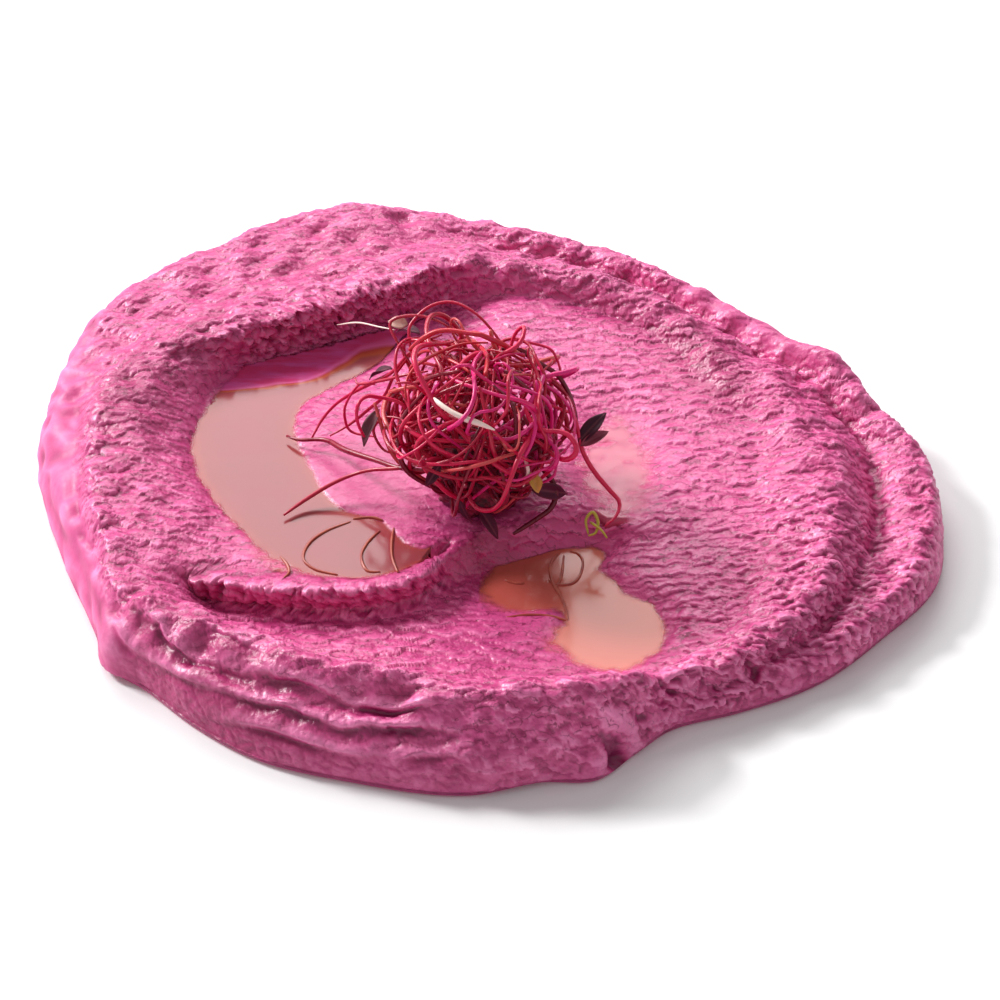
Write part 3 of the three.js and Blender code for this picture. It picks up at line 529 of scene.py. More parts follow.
def swept_waves(points, swirl, size_round, size_out, seed):
    """Waves that are longer across the spoon's stroke, and set finer on the rim than in the middle."""
    r, z = swirl.r, points[..., 2]
    waves = []
    for base in (45.0, 80.0):
        count = max(8, int(round(2 * math.pi * base / size_round)))
        turned = np.broadcast_to(swirl.degrees / 360 * count, r.shape)
        place = np.stack([turned, (r + 0.5 * z) / size_out, z / 9], axis=-1)
        waves.append(swell(place, 1.0, seed + int(base), wrap=count))
    return lerp(waves[0], waves[1], smoothstep(r, 50, 66))


def marks_on(points, swirl):
    """The patterns that the relief is made of: torn flakes, lumps, waves, creases and strokes."""
    r, x, y, z = swirl.r, swirl.x, swirl.y, points[..., 2]
    mark = SimpleNamespace()
    bend = np.stack([swell(points, 3.0, 31), swell(points, 2.6, 32), swell(points, 4.0, 33)], axis=-1)
    wavy = points + bend * [1.2, 1.05, 0.6]
    warped = points + 1.6 * bend
    # Flakes whose front edges drop towards the front, and on the rim towards the middle
    to_front = (0.0, -1.0, -0.35)
    mark.wide_flakes = flakes(wavy, (4.6, 2.2, 3.2), 41, to_front)
    mark.short_flakes = flakes(wavy, (2.9, 1.7, 2.2), 42, to_front)
    mark.small_flakes = flakes(wavy, (1.9, 1.0, 1.4), 43, to_front)
    count = int(round(2 * math.pi * 85 / 3.6))
    round_it = swirl.degrees / 360 * count + 0.2 * bend[..., 0]
    turned = np.stack([round_it, (r + 0.6 * bend[..., 1]) / 1.5, wavy[..., 2] / 2.2], axis=-1)
    to_middle = (-np.cos(swirl.angle), -np.sin(swirl.angle), -0.35)
    mark.rim_flakes = flakes(turned, 1.0, 44, to_middle, wrap=count)
    nearest, second = grains(warped, 3.3, 51)
    mark.lumps = np.sqrt(np.clip((second - nearest) / 0.35, 0, 1)) - 0.75
    mark.waves = swell(points, 7.5, 71)
    mark.broad = swell(points, 14.0, 75)
    mark.folds = swell(np.stack([x * 0.7 + y * 0.7, (x * 0.7 - y * 0.7) * 0.35, z], axis=-1), 5.5, 81)
    slanted = np.stack([0.8 * x + 0.6 * y, 0.3 * (0.8 * y - 0.6 * x), 0.5 * z], axis=-1)
    mark.creased = 1 - 2.2 * np.abs(swell(slanted, 3.6, 83))
    mark.small_crags = 1 - 2.4 * np.abs(swell(warped, (2.9, 1.9, 2.4), 95))
    mark.down_wall = 1 - 2.2 * np.abs(swept_waves(points, swirl, 1.7, 8.0, 15))
    mark.pocks = smoothstep(swell(wavy, (4.4, 2.4, 3.0), 99), 0.8, 1.0)
    mark.quiet = smoothstep(swell(points, 11.0, 111), 0.0, 0.6)
    # Strokes of the spoon along the front's outer face: each layer's edge drops outwards to the next
    layer = (r - np.interp(swirl.degrees, *np.transpose(STROKE_LINE))) / STROKE_WIDTH
    layer = layer + 0.45 * swell(points, (16, 16, 9), 121)
    share = layer - np.floor(layer)
    stroke = np.minimum(share / 0.82, (1 - share) / 0.18) - 0.5
    mark.strokes = stroke * (0.45 + 0.55 * smoothstep(swell(points, 12.0, 131), -0.4, 0.3))
    return mark


def relief_on(points, swirl, zone, mark):
    """How far each place stands out from the smooth swirl."""
    r, z, lumps, waves = swirl.r, points[..., 2], mark.lumps, mark.waves
    rougher = zone.rougher * (0.25 * lumps + 0.2 * mark.short_flakes)
    flaky = (0.36 - 0.14 * mark.quiet) * mark.wide_flakes + 0.05 * mark.short_flakes
    torn = 0.25 * waves + flaky * (1 - 0.7 * zone.west) - 0.45 * mark.pocks + smoothstep(r, 56, 68) * rougher
    craggy = 0.36 * mark.short_flakes + 0.04 * mark.small_flakes + 0.5 * waves + 0.1 * lumps + rougher
    outer_rim = smoothstep(r, swirl.crest + 3, swirl.crest + 12)
    turned = (0.5 - 0.22 * outer_rim) * mark.rim_flakes + (0.4 - 0.15 * outer_rim) * waves
    turned = turned + 0.1 * mark.small_flakes + 0.3 * mark.broad
    craggy = lerp(craggy, turned, between(swirl.degrees, 92, 112, 158, 172))
    lumpy_front = 0.36 * lumps + 0.4 * waves + 0.3 * mark.broad
    relief = torn * zone.basin + craggy * zone.rim * (1 - 0.4 * zone.stroked)
    relief += (0.8 * mark.folds + 0.4 * waves + 0.3 * mark.creased) * zone.calm
    relief += (0.35 * waves + 0.2 * lumps + 0.12 * mark.down_wall) * zone.right_flank
    relief += 0.28 * mark.down_wall * zone.inner_wall
    relief += lumpy_front * zone.front_flank * (1 - zone.rim * 0.5) * (1 - 0.85 * zone.stroked)
    relief += 1.9 * mark.strokes * zone.stroked
    relief += zone.rest * (0.5 * torn + 0.5 * craggy)
    rear = 0.9 * mark.folds + 0.35 * mark.creased + 0.5 * mark.broad + 0.1 * mark.short_flakes
    relief += zone.rear_flank * rear
    relief += (zone.crest_line + zone.shoulder_line * (1 - zone.calm)) * 0.2 * mark.small_crags
    relief -= 0.45 * zone.creasing * np.exp(-((r - swirl.groove_line) / 1.8) ** 2)
    relief *= 1 - 0.6 * zone.smooth_rim
    relief += zone.face * (0.5 * lumps + 0.5 * mark.down_wall)
    relief += zone.ledge_line * (0.6 + 0.35 * mark.small_crags)
    # Smoother along the oil's shores
    for _, level, corners, _, _ in POOLS:
        allowed = inside_corners(swirl.x + SWIRL_MIDDLE[0], swirl.y + SWIRL_MIDDLE[1], corners)
        near = blurred(allowed * np.exp(-((z - level) / 1.1) ** 2), 3, 3)
        relief *= 1 - 0.7 * near * (1 - zone.face)
    relief *= 0.3 + 0.7 * smoothstep(z, 0.8, 3.5)
    for degrees_at, radius_at, half_round, half_out, push in DENTS:
        apart = (swirl.degrees - degrees_at) * math.pi / 180 * radius_at / half_round
        relief += push * np.exp(-apart ** 2 - ((r - radius_at) / half_out) ** 2)
    return relief


def overhung(points, swirl, zone, mark):
    """Makes the ledge's lip and the upper left crest hang over what lies below them."""
    r, ledge = swirl.r, swirl.ledge
    broken = 1 + 0.6 * mark.small_crags
    lip = 1.7 * zone.ledge_line * broken * smoothstep(r, ledge - 3, ledge)
    undercut = 1.6 * zone.face * np.exp(-((r - ledge - swirl.ledge_width * 0.8) / 1.6) ** 2)
    over_oil = np.maximum(0, 1 - ((swirl.degrees - 128) / 36) ** 2)
    over_oil = over_oil * np.exp(-((r - swirl.crest + 1.5) / 2.6) ** 2)
    outward = np.stack([np.cos(swirl.angle), np.sin(swirl.angle), 0 * swirl.angle], axis=-1)
    points = points + (lip - undercut - 2.6 * over_oil * broken)[..., None] * outward
    points[..., 2] = np.maximum(points[..., 2], 0.5)
    return points


def paste_values(points, swirl, zone, relief):
    """What the paste's material reads at each place."""
    r, turn, foot, stroked = swirl.r, swirl.degrees, swirl.foot, zone.stroked
    lumpy = np.clip(zone.front_flank + 0.6 * zone.right_flank + zone.face, 0, 1) * (1 - 0.5 * stroked)
    layered = np.clip(1 - zone.calm - lumpy, 0, 1) * (1 - 0.75 * zone.west * zone.basin)
    layered = layered * (1 - 0.7 * zone.rear_flank) * (1 - 0.3 * stroked) * (1 - 0.7 * zone.smooth_rim)
    # Painted shade along the right's groove, and in the patches of shade below
    painted_shade = 0.4 * zone.creasing * np.exp(-((r - swirl.groove_line) / 2.0) ** 2)
    for degrees_at, radius_at, half_round, half_out, strength in SHADE_PATCHES:
        apart = (np.mod(turn - degrees_at + 180, 360) - 180) * math.pi / 180 * radius_at / half_round
        painted_shade = np.maximum(painted_shade, strength * np.exp(-apart ** 2 - ((r - radius_at) / half_out) ** 2))
    low_wall = 1 - smoothstep(r, foot + 0.5, lerp(foot, swirl.crest, 0.85))
    # Painted shade at the foot of the wall under the crest at the back and left
    under_crest = low_wall * smoothstep(r, foot - 5, foot - 1) * between(turn, 84, 100, 160, 176)
    round_it = np.broadcast_to(swirl.angle * 85, r.shape)
    return {
        # hollow: relief against its surroundings, which the paste's colour turns into painted shade in creases
        # and a painted highlight on ridges
        "hollow": relief - blurred(relief, 5, 5),
        # wet: soaked oil, with painted shade on the ledge's face
        "wet": np.maximum(soaking_and_shade(points + SWIRL_MIDDLE), 0.3 * zone.face),
        "layered": layered,
        "lumpy": lumpy,
        "calm": np.maximum(zone.calm, 0.7 * zone.rear_flank),
        "painted_shade": np.maximum(painted_shade, 0.22 * under_crest),
        "swept": np.stack([round_it, -r, points[..., 2]], axis=-1) * MM,
    }


def soaking_and_shade(points):
    """How much oil has soaked in along the pools' shores, and in front of the nest, where it is also painted
    shade under the nest.
    """
    x, y, z = np.moveaxis(points, -1, 0)
    # Soaked oil and painted shade under the front of the nest
    wet = np.exp(-(((x - 7) / 15) ** 2 + ((y + 32) / 7) ** 2) ** 1.5)
    for _, level, corners, _, _ in POOLS:
        shore = inside_corners(x, y, corners) * (1 - smoothstep(z, level + 0.1, level + 0.9))
        wet = np.maximum(wet, 0.12 * shore)
    return wet


def spread_surface():
    """The spread's top and side over columns and rings, with what its material reads there."""
    section = section_at(np.arange(COLUMNS) * 360 / COLUMNS)
    swirl = in_columns(section)
    swirl.r = ring_radii(section, RINGS)
    swirl.angle = np.radians(swirl.degrees)
    swirl.x, swirl.y = swirl.r * np.cos(swirl.angle), swirl.r * np.sin(swirl.angle)
    swirl.groove_line = lerp(swirl.crest, swirl.shoulder, swirl.groove)
    points, facing = smooth_swirl(swirl)
    zone, mark = zones_of(swirl), marks_on(points, swirl)
    relief = relief_on(points, swirl, zone, mark)
    points = overhung(points + relief[..., None] * facing, swirl, zone, mark)
    return points, swirl, paste_values(points, swirl, zone, relief)


def joined_mesh(name, vertices, faces, attributes=None):
    """An object from vertices in millimetres and triangles or quads, with values at its vertices."""
    mesh = bpy.data.meshes.new(name)
    faces = [np.asarray(f) for f in (faces if isinstance(faces, list) else [faces])]
    loops = np.concatenate([f.ravel() for f in faces]).astype(np.int32)
    sizes = np.concatenate([np.full(len(f), f.shape[1]) for f in faces]).astype(np.int32)
    mesh.vertices.add(len(vertices))
    mesh.vertices.foreach_set("co", (np.asarray(vertices) * MM).astype(np.float32).ravel())
    mesh.loops.add(len(loops))
    mesh.loops.foreach_set("vertex_index", loops)
    mesh.polygons.add(len(sizes))
    mesh.polygons.foreach_set("loop_start", np.concatenate([[0], np.cumsum(sizes)[:-1]]).astype(np.int32))
    mesh.polygons.foreach_set("loop_total", sizes)
    mesh.update(calc_edges=True)
    mesh.validate()
    mesh.polygons.foreach_set("use_smooth", np.ones(len(mesh.polygons), bool))
    for key, values in (attributes or {}).items():
        values = np.asarray(values, np.float32)
        layer = mesh.attributes.new(key, "FLOAT_VECTOR" if values.ndim == 2 else "FLOAT", "POINT")
        layer.data.foreach_set("vector" if values.ndim == 2 else "value", values.ravel())
    return placed_object(name, mesh)


def placed_object(name, data):
    piece = bpy.data.objects.new(name, data)
    bpy.context.scene.collection.objects.link(piece)
    return piece


def grid_quads(index):
    """Quads between the neighbours of a grid of vertex numbers."""
    quads = np.stack([index[:-1, :-1], index[1:, :-1], index[1:, 1:], index[:-1, 1:]], axis=-1)
    return quads.reshape(-1, 4)


def slab_faces(quads, below):
    """Closes a sheet of quads into a slab, whose lower corners have numbers that much higher."""
    edges = np.concatenate([quads[:, [k, (k + 1) % 4]] for k in range(4)])
    present = set(map(tuple, edges))
    start, end = np.array([edge for edge in edges if (edge[1], edge[0]) not in present]).T
    rim = np.stack([end, start, start + below, end + below], axis=-1)
    return np.concatenate([quads, quads[:, ::-1] + below, rim])


def spread_mesh():
    """The whole spread as one closed mesh, with fewer columns towards its middle."""
    points, swirl, fields = spread_surface()
    columns, rings = swirl.r.shape
    grid = np.arange(columns * rings).reshape(columns, rings)
    triangles = []

    def strip(inner, outer):
        triangles.append(np.stack([inner, outer, np.roll(outer, -1)], axis=-1))
        triangles.append(np.stack([inner, np.roll(outer, -1), np.roll(inner, -1)], axis=-1))

    def doubling_strip(inner, outer):
        even, odd = outer[::2], outer[1::2]
        triangles.append(np.stack([inner, even, odd], axis=-1))
        triangles.append(np.stack([inner, odd, np.roll(inner, -1)], axis=-1))
        triangles.append(np.stack([np.roll(inner, -1), odd, np.roll(even, -1)], axis=-1))

    def kept(ring):
        return grid[::2 ** sum(ring < limit for limit in COARSER_INSIDE), ring]

    for ring in range(rings - 1):
        inner, outer = kept(ring), kept(ring + 1)
        (strip if len(inner) == len(outer) else doubling_strip)(inner, outer)
    centre = columns * rings
    triangles.append(np.stack([np.full(len(kept(0)), centre), kept(0), np.roll(kept(0), -1)], axis=-1))
    # The edge rolls under to the surface that the spread lies on
    angle, edge = swirl.angle[:, 0], swirl.edge[:, 0]
    under = []
    last = grid[:, -1]
    for k, (inset, height) in enumerate(UNDERSIDE):
        x, y = (edge - inset) * np.cos(angle), (edge - inset) * np.sin(angle)
        under.append(np.stack([x, y, np.full(columns, height)], axis=-1))
        ring = centre + 1 + k * columns + np.arange(columns)
        strip(last, ring)
        last = ring
    bottom = centre + 1 + len(under) * columns
    triangles.append(np.stack([np.full(columns, bottom), np.roll(last, -1), last], axis=-1))
    top = [0, 0, points[:, 0, 2].mean()]
    vertices = np.concatenate([points.reshape(-1, 3), [top], *under, [[0, 0, 0]]])
    used, number = np.unique(np.concatenate(triangles), return_inverse=True)
    values = {}
    for name, field in fields.items():
        flat = field.reshape(columns * rings, *field.shape[2:])
        rest = np.zeros((len(vertices) - len(flat), *flat.shape[1:]))
        values[name] = np.concatenate([flat, rest])[used]
    return vertices[used] + SWIRL_MIDDLE, number.reshape(-1, 3), values


def thin_out(piece, triangles):
    """Takes out a piece's flattest edges until about that many triangles are left."""
    fewer = piece.modifiers.new("fewer", "DECIMATE")
    fewer.ratio = min(1, triangles / len(piece.data.polygons))
    depsgraph = bpy.context.evaluated_depsgraph_get()
    evaluated = piece.evaluated_get(depsgraph)
    mesh = bpy.data.meshes.new_from_object(evaluated, preserve_all_data_layers=True, depsgraph=depsgraph)
    piece.modifiers.clear()
    piece.data = mesh
    mesh.polygons.foreach_set("use_smooth", np.ones(len(mesh.polygons), bool))


def ground_under(piece):
    """A function that tells how high the finished spread is at each place, or 0 beside it."""
    mesh = piece.data
    points = np.zeros(len(mesh.vertices) * 3, np.float32)
    mesh.vertices.foreach_get("co", points)
    corners = np.zeros(len(mesh.polygons) * 3, np.int32)
    mesh.polygons.foreach_get("vertices", corners)
    tree = BVHTree.FromPolygons((points.reshape(-1, 3) / MM).tolist(), corners.reshape(-1, 3).tolist())

    def height(x, y):
        hits = [tree.ray_cast((px, py, ABOVE_ALL), (0, 0, -1))[0] for px, py in zip(x, y)]
        return np.array([hit[2] if hit else 0.0 for hit in hits])

    return height


# Oil

def plan_corners(corners):
    """The x and y of plan corners given in degrees and radius."""
    degrees, radius = np.array(corners, float).T
    angle = np.radians(degrees)
    return radius * np.cos(angle) + SWIRL_MIDDLE[0], radius * np.sin(angle) + SWIRL_MIDDLE[1]


def inside_corners(x, y, corners):
    """Whether each place is inside a plan outline of degrees and radius."""
    cx, cy = plan_corners(corners)
    inside = np.zeros(x.shape, bool)
    for k in range(len(cx)):
        ax, ay, bx, by = cx[k - 1], cy[k - 1], cx[k], cy[k]
        crosses = (ay > y) != (by > y)
        inside ^= crosses & (x < ax + (y - ay) * (bx - ax) / np.where(by == ay, 1e-9, by - ay))
    return inside


def plan_swell(x, y, size, seed):
    return swell(np.stack([x, y, 0 * x], axis=-1), size, seed)


def oil_values(x, y, depth, level, fades_over, tint):
    """What the oil's material reads at each place."""
    soft = 0.35 * fades_over / 0.9 * plan_swell(x, y, 3.6, 217)
    shaded = np.zeros_like(x)
    if level == LEFT_OIL_LEVEL:
        line_x, line_y = np.array(SHADED_SHORE).T
        uneven = 0.7 * plan_swell(0.4 * x, y, 3.5, 215)
        behind = (y - np.interp(x, line_x, line_y) + uneven) / (2.4 + 5.0 * smoothstep(x, -46, -26))
        shaded = np.clip(behind * (x < line_x[-1] + 2) + 0.3, 0, 1)
    if level == FRONT_OIL_LEVEL:
        # Painted reflection: the front pool is darker and browner where it mirrors the nest
        tint = tint + 0.14 * (1 - smoothstep(x, 14, 20)) * smoothstep(y, -47, -42)
    return {"depth": depth, "film": smoothstep(depth + soft, 0, fades_over), "tint": tint, "shaded": shaded}


def oil_pool(name, level, corners, fades_over, tint, ground_height):
    """Oil up to its level: a sheet that climbs a little at its shore, over a bed just inside the hummus."""
    cx, cy = plan_corners(corners)
    xs = np.arange(cx.min() - 1, cx.max() + 1, OIL_STEP)
    ys = np.arange(cy.min() - 1, cy.max() + 1, OIL_STEP)
    x, y = np.meshgrid(xs, ys, indexing="ij")
    allowed = inside_corners(x, y, corners)
    bed = np.full(x.shape, 99.0)
    bed[allowed] = ground_height(x[allowed], y[allowed])
    wet = allowed & (bed < level + OIL_REACH)
    cells = largest_patch(wet[:-1, :-1] & wet[1:, :-1] & wet[1:, 1:] & wet[:-1, 1:])
    quads = grid_quads(np.arange(x.size).reshape(x.shape))[cells.ravel()]
    used, number = np.unique(slab_faces(quads, x.size), return_inverse=True)
    shallow = np.exp(-np.maximum(level - bed, 0) / 0.35)
    top = level + 0.05 * shallow + 0.03 * plan_swell(x, y, 9.0, 211)
    low = np.minimum(bed - OIL_BELOW, top - 0.25)
    vertices = np.concatenate([np.stack([x, y, z], axis=-1).reshape(-1, 3) for z in (top, low)])[used]
    values = oil_values(x, y, np.clip(level - bed, 0, 9), level, fades_over, tint)
    on_both = {key: np.tile(np.broadcast_to(value, x.shape).ravel(), 2)[used] for key, value in values.items()}
    return joined_mesh(name, vertices, number.reshape(-1, 4), on_both)


def largest_patch(cells):
    """Keeps only the largest run of joined cells."""
    label = np.where(cells, np.arange(cells.size).reshape(cells.shape) + 1, 0)
    sides = ((1, 0), (-1, 0), (1, 1), (-1, 1))
    while True:
        grown = label
        for _ in range(7):
            for shift, axis in sides:
                grown = np.where(cells, np.maximum(grown, np.roll(grown, shift, axis=axis)), 0)
        if (grown == label).all():
            break
        label = grown
    names, counts = np.unique(label[label > 0], return_counts=True)
    return label == names[np.argmax(counts)]


# Sprouts

def tubes(paths, radii):
    """Round stems along paths of the same number of points, closed at both ends."""
    count, steps, _ = paths.shape
    tangent = unit(np.gradient(paths, axis=1))
    up = np.where(np.abs(tangent[:, :1, 2:]) < 0.9, [[[0.0, 0.0, 1.0]]], [[[1.0, 0.0, 0.0]]])
    frames = []
    for k in range(steps):
        t = tangent[:, k:k + 1]
        up = unit(up - np.sum(up * t, axis=-1, keepdims=True) * t)
        frames.append(up)
    up = np.concatenate(frames, axis=1)
    side = np.cross(tangent, up)
    angle = np.arange(STEM_SIDES) * 2 * math.pi / STEM_SIDES
    ring = np.cos(angle)[:, None] * up[:, :, None] + np.sin(angle)[:, None] * side[:, :, None]
    skin = paths[:, :, None] + radii[:, :, None, None] * ring
    vertices = np.concatenate([skin.reshape(count, -1, 3), paths[:, [0, -1]]], axis=1)
    per_stem = steps * STEM_SIDES + 2
    base = np.arange(steps * STEM_SIDES).reshape(steps, STEM_SIDES)
    after = np.roll(base, -1, axis=1)
    quads = np.stack([base[:-1], after[:-1], after[1:], base[1:]], axis=-1).reshape(-1, 4)
    first = np.stack([np.full(STEM_SIDES, per_stem - 2), after[0], base[0]], axis=-1)
    last = np.stack([np.full(STEM_SIDES, per_stem - 1), base[-1], after[-1]], axis=-1)
    offset = (np.arange(count) * per_stem)[:, None, None]
    ends = np.concatenate([first, last]) + offset
    return vertices.reshape(-1, 3), (quads + offset).reshape(-1, 4), ends.reshape(-1, 3)


def curve_through(points, count):
    """A smooth line through points, at evenly spaced places."""
    p = np.asarray(points, float)
    p = np.concatenate([[2 * p[0] - p[1]], p, [2 * p[-1] - p[-2]]])
    fine = []
    for k in range(1, len(p) - 2):
        t = np.linspace(0, 1, 20, endpoint=k == len(p) - 3)[:, None]
        a, b, c, d = p[k - 1:k + 3]
        square, cube = 2 * a - 5 * b + 4 * c - d, 3 * b - a - 3 * c + d
        fine.append(0.5 * (2 * b + t * (c - a) + t ** 2 * square + t ** 3 * cube))
    fine = np.concatenate(fine)
    run = np.concatenate([[0], np.cumsum(np.linalg.norm(np.diff(fine, axis=0), axis=1))])
    return np.stack([np.interp(np.linspace(0, run[-1], count), run, fine[:, k]) for k in range(3)], axis=1)


def wandering_stems(count, ground_height):
    """Stems that curl about through the nest: each keeps to its own layer, and none goes into the hummus."""
    layer = 0.35 + 0.55 * rng.random((count, 1)) ** 0.7
    start = unit(rng.normal(size=(count, 3)) + [0, 0, 0.35])
    p = NEST_MIDDLE + NEST_HALF * start * layer
    heading = unit(np.cross(start, rng.normal(size=(count, 3))))
    axis = unit(rng.normal(size=(count, 3)) + 0.7 * start)
    length = 18 + 34 * rng.random((count, 1)) ** 0.8
    curl = 1 / (3.0 + 16 * rng.random((count, 1)) ** 1.3)
    step = length / (STEM_POINTS - 1)
    paths = [p]
    for _ in range(STEM_POINTS - 1):
        axis = unit(axis + 0.5 * rng.normal(size=(count, 3)) * np.sqrt(step))
        heading = unit(heading + np.cross(axis, heading) * curl * step)
        place = (p - NEST_MIDDLE) / NEST_HALF
        far = np.linalg.norm(place, axis=1, keepdims=True)
        narrowing = np.clip((p[:, 2:] - ground_height) / 14, 0.45, 1)
        heading = unit(heading - 0.5 * (far - layer * narrowing) * place / far * step)
        low = p[:, 2:] < ground_height + 1.2
        heading[:, 2:] = np.where(low, np.abs(heading[:, 2:]), heading[:, 2:])
        p = p + heading * step
        p[:, 2:] = np.clip(p[:, 2:], ground_height + 0.6, NEST_TOP)
        paths.append(p)
    return np.stack(paths, axis=1)


def rising_stems(count):
    """Stems that rise from the nest's foot, spread out round it and curl in over its top."""
    foot = NEST_FOOT[2]
    paths = []
    for k in range(count):
        turn = 2 * math.pi * (k + rng.random()) / count
        twist = rng.normal() * 0.5
        wide = 0.7 + 0.3 * rng.random()
        points = []
        for height, reach in RISE:
            middle = NEST_FOOT[:2] + reach * (NEST_MIDDLE - NEST_FOOT)[:2]
            out = wide * reach * NEST_HALF[:2] * [math.cos(turn), math.sin(turn)]
            points.append([*(middle + out), foot + (height - foot) * (0.75 + 0.25 * wide)])
            turn += twist * 0.35 + 0.16 * rng.normal()
        points = np.array(points) + rng.normal(size=(len(RISE), 3)) * [1.1, 1.1, 0.9]
        points[:, 2] = np.clip(points[:, 2], foot + 0.6, NEST_TOP - 0.6 * k / count)
        points = points[:rng.integers(4, 7)]
        paths.append(curve_through(points, STEM_POINTS))
    return np.array(paths)


def placed_tones(paths):
    """Each stem's tone by where it lies: maroon low down, crimson higher, with odd ones. The maroon low down
    is partly painted shade of the nest's inside.
    """
    x, _, z = paths.mean(axis=1).T
    # Darker low in the nest: partly the stems' own tone, partly painted shade
    tone = 0.18 + 0.3 * (z - 14) / 34 + 0.12 * rng.normal(size=len(paths))
    right = smoothstep(x, 0, 10) * smoothstep(z, 26, 36)
    left = smoothstep(-x, 0, 10) * smoothstep(z, 30, 40)
    odd = rng.random(len(paths))
    for chosen, odd_tone in ((odd < 0.4 * right, 0.62), (odd < 0.3 * left, 0.73), (odd > 0.965, 0.81)):
        tone = np.where(chosen, odd_tone, tone)
    return np.clip(tone, 0.02, 0.9)


def stem_radii(paths, thickness, taper=0.35):
    """Radii along stems, with slight swellings and thinner ends."""
    count, steps, _ = paths.shape
    t = np.linspace(0, 1, steps)[None, :]
    ends = 1 - taper * (np.abs(2 * t - 1) ** 4)
    uneven = 1 + 0.1 * np.sin(9 * t + 6.28 * rng.random((count, 1)))
    return np.asarray(thickness).reshape(count, 1) * ends * uneven


def given_stems(stems, taper):
    """Paths, radii and tones of stems given as points, thickness and tone."""
    points, thickness, tones = zip(*stems)
    paths = np.array([curve_through(p, STEM_POINTS) for p in points])
    return paths, stem_radii(paths, thickness, taper), np.array(tones)


def nest_stems():
    """The nest's groups of stems: wandering and rising ones, those that reach out, and cream roots."""
    groups = []
    for paths in (wandering_stems(LOOSE_STEMS, MOUND_HEIGHT), rising_stems(RISING_STEMS)):
        radii = stem_radii(paths, 0.28 + 0.36 * rng.random(len(paths)) ** 1.4)
        groups.append((paths, radii, placed_tones(paths)))
    groups.append(given_stems(STRAYS, 0.5))
    groups.append(given_stems([(points, thickness, ROOT_TONE) for points, thickness in PALE_ROOTS], 0.7))
    return groups


def sunken_stems():
    """The thin stems that lie just at the oil's surface."""
    raised = [[[x, y, level + 0.05] for x, y in points] for points, level in SUNKEN]
    return [given_stems([(points, SUNKEN_THICKNESS, SUNKEN_TONE) for points in raised], 0.5)]


def joined_parts(parts):
    """One run of vertices and one of faces from several parts that each have their own."""
    offsets = np.cumsum([0] + [len(vertices) for vertices, _ in parts[:-1]])
    faces = [faces + offset for (_, faces), offset in zip(parts, offsets)]
    return np.concatenate([vertices for vertices, _ in parts]), np.concatenate(faces)


def stems_piece(name, groups):
    """One piece from several groups of stems: paths, radii and tones."""
    made = [tubes(paths, radii) for paths, radii, _ in groups]
    vertices, quads = joined_parts([(v, q) for v, q, _ in made])
    _, ends = joined_parts([(v, e) for v, _, e in made])
    tones = [np.repeat(tone, len(v) // len(tone)) for (v, _, _), (_, _, tone) in zip(made, groups)]
    return joined_mesh(name, vertices, [quads, ends], {"tone": np.concatenate(tones)})


def leaf(stalk, tip, upper, width, curl):
    """A thin seed leaf with a folded midrib and wavy sides: its vertices and faces."""
    stalk, tip = np.array(stalk), np.array(tip)
    length = np.linalg.norm(tip - stalk)
    forward = unit(tip - stalk)
    side = unit(np.cross(upper, forward))
    normal = np.cross(forward, side)
    t = np.linspace(0, 1, LEAF_ROWS)[:, None]
    u = np.linspace(-1, 1, LEAF_COLUMNS)[None, :]
    half = width / 2 * np.maximum(0.09, np.sin(math.pi * t ** 0.75) ** 0.75)
    lift = 0.12 * length * np.sin(2.6 * t) + curl * half * np.abs(u) ** 1.5
    lift = lift + 0.05 * width * np.sin(9 * t + 3 * u)
    middle = stalk + forward * (t * length)[..., None] + side * (u * half)[..., None]
    middle = middle + normal * lift[..., None]
    edge = np.minimum(1, 2.4 * (1 - np.abs(u))) * np.minimum(1, 6 * (1 - t) + 0.2)
    half_thick = normal * (LEAF_THICKNESS / 2 * np.maximum(edge, 0.12))[..., None]
    vertices = np.concatenate([(middle + half_thick).reshape(-1, 3), (middle - half_thick).reshape(-1, 3)])
    index = np.arange(t.size * u.size).reshape(t.size, u.size)
    return vertices, slab_faces(grid_quads(index), index.size)


def leaves_piece():
    vertices, faces = joined_parts([leaf(*spec[:-1]) for spec in LEAVES])
    tones = np.repeat([spec[-1] for spec in LEAVES], len(vertices) // len(LEAVES))
    across = 1 - np.abs(np.linspace(-1, 1, LEAF_COLUMNS))
    ribs = np.tile(across, 2 * LEAF_ROWS * len(LEAVES))
    return joined_mesh("seed_leaves", vertices, faces, {"tone": tones, "rib": ribs})


def nest_core():
    """The dense dark knot low in the nest: its dark maroon is partly painted shade of the nest's packed
    inside.
    """
    rows, columns = 40, 64
    t = np.linspace(0.04, math.pi - 0.04, rows)[:, None]
    a = np.arange(columns)[None, :] * 2 * math.pi / columns
    direction = np.stack([np.sin(t) * np.cos(a), np.sin(t) * np.sin(a), np.cos(t) + 0 * a], axis=-1)
    lumps = 1 + 0.22 * swell(direction * 10, 4.0, 301) + 0.12 * swell(direction * 10, 1.6, 302)
    points = CORE_MIDDLE + direction * CORE_HALF * lumps[..., None]
    points[..., 2] = np.maximum(points[..., 2], CORE_FOOT)
    index = np.arange(rows * columns).reshape(rows, columns)
    after = np.roll(index, -1, axis=1)
    quads = np.stack([index[:-1], index[1:], after[1:], after[:-1]], axis=-1).reshape(-1, 4)
    poles = [points[0].mean(axis=0), points[-1].mean(axis=0)]
    top = np.stack([np.full(columns, index.size), index[0], after[0]], axis=-1)
    foot = np.stack([np.full(columns, index.size + 1), after[-1], index[-1]], axis=-1)
    vertices = np.concatenate([points.reshape(-1, 3), poles])
    return joined_mesh("sprout_core", vertices, [quads, np.concatenate([top, foot])])


# Finishes

